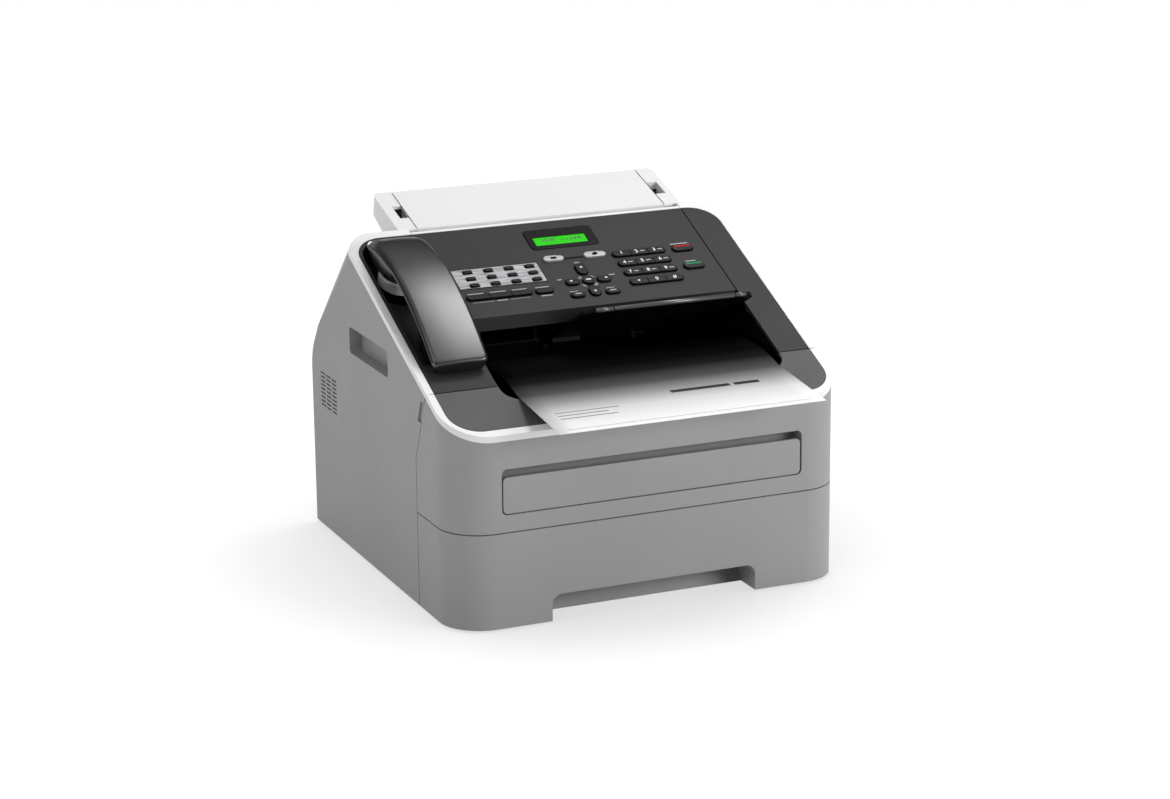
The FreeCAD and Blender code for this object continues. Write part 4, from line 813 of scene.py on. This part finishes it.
PAGE_X = (-0.108, 0.138)
PAGE_THICK = 0.0003
PAGE_CELLS = (14, 60)
DECK_Y = -0.142
FIRST_DROP = 0.0082
BEND_Y = -0.140
BEND_RISE = 0.0019
CREST_Y = -0.084
CREST_DROP = 0.015
LAST_Y = 0.058
LAST_RISE = 0.009
BAY_FRONT = -0.1233
BAY_DEPTH = 0.059
bay_floor = face_height(BAY_FRONT) - BAY_DEPTH
page_first = (PAGE_FRONT, face_height(DECK_Y) - FIRST_DROP)
page_bend = (BEND_Y, face_height(DECK_Y) + BEND_RISE)
page_crest = (CREST_Y, face_height(CREST_Y) - CREST_DROP)
page_last = (LAST_Y, bay_floor + LAST_RISE)


def circle_through(a, b, c):
    """Middle and radius of the circle through three points."""
    d = 2.0 * (a[0] * (b[1] - c[1]) + b[0] * (c[1] - a[1]) + c[0] * (a[1] - b[1]))
    squares = [q[0] ** 2 + q[1] ** 2 for q in (a, b, c)]
    mid_y = (squares[0] * (b[1] - c[1]) + squares[1] * (c[1] - a[1]) + squares[2] * (a[1] - b[1])) / d
    mid_z = (squares[0] * (c[0] - b[0]) + squares[1] * (a[0] - c[0]) + squares[2] * (b[0] - a[0])) / d
    return mid_y, mid_z, math.hypot(a[0] - mid_y, a[1] - mid_z)


bow_y, bow_z, bow_radius = circle_through(page_bend, page_crest, page_last)


def page_height(y):
    """Height of the page's underside: straight over the front cover, then one even bow into the bay."""
    if y <= page_bend[0]:
        share = (y - page_first[0]) / (page_bend[0] - page_first[0])
        return page_first[1] + share * (page_bend[1] - page_first[1])
    return bow_z + math.sqrt(bow_radius ** 2 - (y - bow_y) ** 2)


def page_strip(name, x, y, offsets, look, across, along):
    """A thin closed strip that follows the page, between two offsets above its underside."""
    points = []
    faces = []
    for offset in offsets:
        for j in range(along + 1):
            at = y[0] + (y[1] - y[0]) * j / along
            for i in range(across + 1):
                points.append((x[0] + (x[1] - x[0]) * i / across, at, page_height(at) + offset))
    wide = across + 1
    layer = wide * (along + 1)
    for j in range(along):
        for i in range(across):
            a = j * wide + i
            faces.append((a, a + wide, a + wide + 1, a + 1))
            faces.append((layer + a, layer + a + 1, layer + a + wide + 1, layer + a + wide))
    for j in range(along):
        a = j * wide
        b = a + across
        faces.append((a, layer + a, layer + a + wide, a + wide))
        faces.append((b, b + wide, layer + b + wide, layer + b))
    for i in range(across):
        a = along * wide + i
        faces.append((i, i + 1, layer + i + 1, layer + i))
        faces.append((a, layer + a, layer + a + 1, a + 1))
    return mesh_piece(name, points, faces, look, "chassis", WORLD)


sheet = page_strip("page", PAGE_X, (PAGE_FRONT, LAST_Y), (0.0, PAGE_THICK), "paper", *PAGE_CELLS)
for polygon in sheet.data.polygons:
    polygon.use_smooth = abs(polygon.normal.z) > 0.5
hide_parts("delivered_sheet")

INK_LAYER = (PAGE_THICK + 0.00002, PAGE_THICK + 0.00006)
PAGE_RULE_X = (-0.098, 0.128)
PAGE_RULE_Y = (-0.2215, -0.2209)
HEADING_LEFT = (0.020, 0.076)
HEADING_RIGHT = (0.080, 0.104)
HEADING_Y = (-0.1715, -0.1660)
ROW_WIDTHS = (0.052, 0.046, 0.058)
ROW_X = -0.094
ROW_FIRST = -0.199
ROW_PITCH = 0.0065
ROW_TALL = 0.0018
page_marks = [
    page_strip("page_rule", PAGE_RULE_X, PAGE_RULE_Y, INK_LAYER, "page_line", 2, 2),
    page_strip("page_heading_left", HEADING_LEFT, HEADING_Y, INK_LAYER, "page_ink", 2, 3),
    page_strip("page_heading_right", HEADING_RIGHT, HEADING_Y, INK_LAYER, "page_ink", 2, 3),
]
for row, wide in enumerate(ROW_WIDTHS):
    x = (ROW_X, ROW_X + wide)
    y = ROW_FIRST + ROW_PITCH * row
    page_marks.append(page_strip(f"page_row_{row}", x, (y, y + ROW_TALL), INK_LAYER, "page_line", 2, 2))

# Camera

TARGET = Vector((0.014208, 0.0, 0.139324))
EYE = Vector((-1.0163, -2.3609, 0.8464))
ROLL = math.radians(-0.529)
LENS = 90.93
SENSOR = 36.0
forward = (TARGET - EYE).normalized()
level_right = forward.cross(Vector((0.0, 0.0, 1.0))).normalized()
level_up = level_right.cross(forward)
camera_right = math.cos(ROLL) * level_right + math.sin(ROLL) * level_up
camera_up = math.cos(ROLL) * level_up - math.sin(ROLL) * level_right
camera_turn = Matrix((camera_right, camera_up, -forward)).transposed().to_4x4()
camera_data = bpy.data.cameras.new("camera")
camera_data.sensor_fit = "HORIZONTAL"
camera_data.sensor_width = SENSOR
camera_data.lens = LENS
camera = bpy.data.objects.new("camera", camera_data)
camera.matrix_world = Matrix.Translation(EYE) @ camera_turn
bpy.context.scene.collection.objects.link(camera)
bpy.context.scene.camera = camera
bpy.context.scene.view_settings.view_transform = "Standard"

# Floor

FLOOR_REACH = 14.0
FLOOR_TONES = ((0.88, 0.88, 0.88), (0.9, 0.9, 0.9))
FLOOR_PATCHES = 3.0
FLOOR_ROUGHNESS = 0.09
FLOOR_SHARE = 0.8
FLOOR_GLOW = (0.84, 1.2)
SHADE_REACH = 0.24
SHADE_FULL = 0.45
SHADE_SAMPLES = 8


def maximum(tree, first, second):
    node = tree.nodes.new("ShaderNodeMath")
    node.operation = "MAXIMUM"
    tree.links.new(first, node.inputs[0])
    tree.links.new(second, node.inputs[1])
    return node.outputs[0]


def pale_floor(name):
    """A white, slightly glossy floor: white to the eye and in reflections, with a shade by the object."""
    made, tree, shader = material(name)
    tone = between(tree, noise(tree, position(tree), FLOOR_PATCHES), *FLOOR_TONES)
    tree.links.new(tone, shader.inputs["Base Color"])
    shader.inputs["Roughness"].default_value = FLOOR_ROUGHNESS
    path = tree.nodes.new("ShaderNodeLightPath").outputs
    mirrored = maximum(tree, path["Is Glossy Ray"], path["Is Transmission Ray"])
    share = tree.nodes.new("ShaderNodeMath")
    share.operation = "MULTIPLY"
    share.inputs[1].default_value = FLOOR_SHARE
    tree.links.new(maximum(tree, path["Is Camera Ray"], mirrored), share.inputs[0])
    near = tree.nodes.new("ShaderNodeAmbientOcclusion")
    near.samples = SHADE_SAMPLES
    near.inputs["Distance"].default_value = SHADE_REACH
    glow = tree.nodes.new("ShaderNodeMapRange")
    glow.inputs["From Min"].default_value = SHADE_FULL
    glow.inputs["To Min"].default_value = FLOOR_GLOW[0]
    glow.inputs["To Max"].default_value = FLOOR_GLOW[1]
    tree.links.new(near.outputs["AO"], glow.inputs["Value"])
    white = tree.nodes.new("ShaderNodeEmission")
    white.inputs["Color"].default_value = (1.0, 1.0, 1.0, 1.0)
    tree.links.new(glow.outputs["Result"], white.inputs["Strength"])
    mixed = tree.nodes.new("ShaderNodeMixShader")
    tree.links.new(share.outputs[0], mixed.inputs["Fac"])
    tree.links.new(shader.outputs["BSDF"], mixed.inputs[1])
    tree.links.new(white.outputs["Emission"], mixed.inputs[2])
    out = [node for node in tree.nodes if node.type == "OUTPUT_MATERIAL"][0]
    tree.links.new(mixed.outputs["Shader"], out.inputs["Surface"])
    return made


corners = [(FLOOR_REACH * x, FLOOR_REACH * y, 0.0) for x, y in ((-1, -1), (1, -1), (1, 1), (-1, 1))]
floor_data = bpy.data.meshes.new("floor")
floor_data.from_pydata(corners, [], [(0, 1, 2, 3)])
floor_data.materials.append(pale_floor("floor_white"))
floor = bpy.data.objects.new("floor", floor_data)
bpy.context.scene.collection.objects.link(floor)

# Light: a sky that brightens upwards, and soft lamps

SKY_LEVEL = (0.09, 0.68)
SKY_RISE = (0.5, 0.85)
world = bpy.data.worlds.new("studio")
bpy.context.scene.world = world
world.use_nodes = True
sky = world.node_tree
background = sky.nodes["Background"]
background.inputs["Color"].default_value = (1.0, 1.0, 1.0, 1.0)
sky_coords = sky.nodes.new("ShaderNodeTexCoord")
sky_split = sky.nodes.new("ShaderNodeSeparateXYZ")
sky_rise = sky.nodes.new("ShaderNodeMapRange")
sky_rise.inputs["From Min"].default_value = SKY_RISE[0]
sky_rise.inputs["From Max"].default_value = SKY_RISE[1]
sky_rise.inputs["To Min"].default_value = SKY_LEVEL[0]
sky_rise.inputs["To Max"].default_value = SKY_LEVEL[1]
sky.links.new(sky_coords.outputs["Generated"], sky_split.inputs["Vector"])
sky.links.new(sky_split.outputs["Z"], sky_rise.inputs["Value"])
sky.links.new(sky_rise.outputs["Result"], background.inputs["Strength"])

# name, place, aim, size and power in watts
LAMPS = (
    ("top", (0.95, 0.2, 2.3), (0.0, 0.0, 0.2), (1.1, 0.9), 26.0),
    ("upper_left", (-1.6, -0.4, 1.9), (0.0, 0.0, 0.2), (1.0, 0.8), 6.0),
    ("front", (1.7, -2.0, 0.75), (0.0, 0.0, 0.12), (1.4, 0.9), 42.0),
    ("left", (-2.4, -0.6, 0.4), (0.0, 0.0, 0.1), (1.4, 0.6), 12.0),
    ("rear", (-0.15, 2.6, 0.5), (0.0, 0.0, 0.12), (1.0, 0.6), 16.0),
)
for name, place, aim, size, power in LAMPS:
    lamp_data = bpy.data.lights.new(name, "AREA")
    lamp_data.shape = "RECTANGLE"
    lamp_data.size, lamp_data.size_y = size
    lamp_data.energy = power
    lamp = bpy.data.objects.new(name, lamp_data)
    lamp.location = place
    lamp.rotation_euler = (Vector(aim) - Vector(place)).to_track_quat("-Z", "Y").to_euler()
    bpy.context.scene.collection.objects.link(lamp)
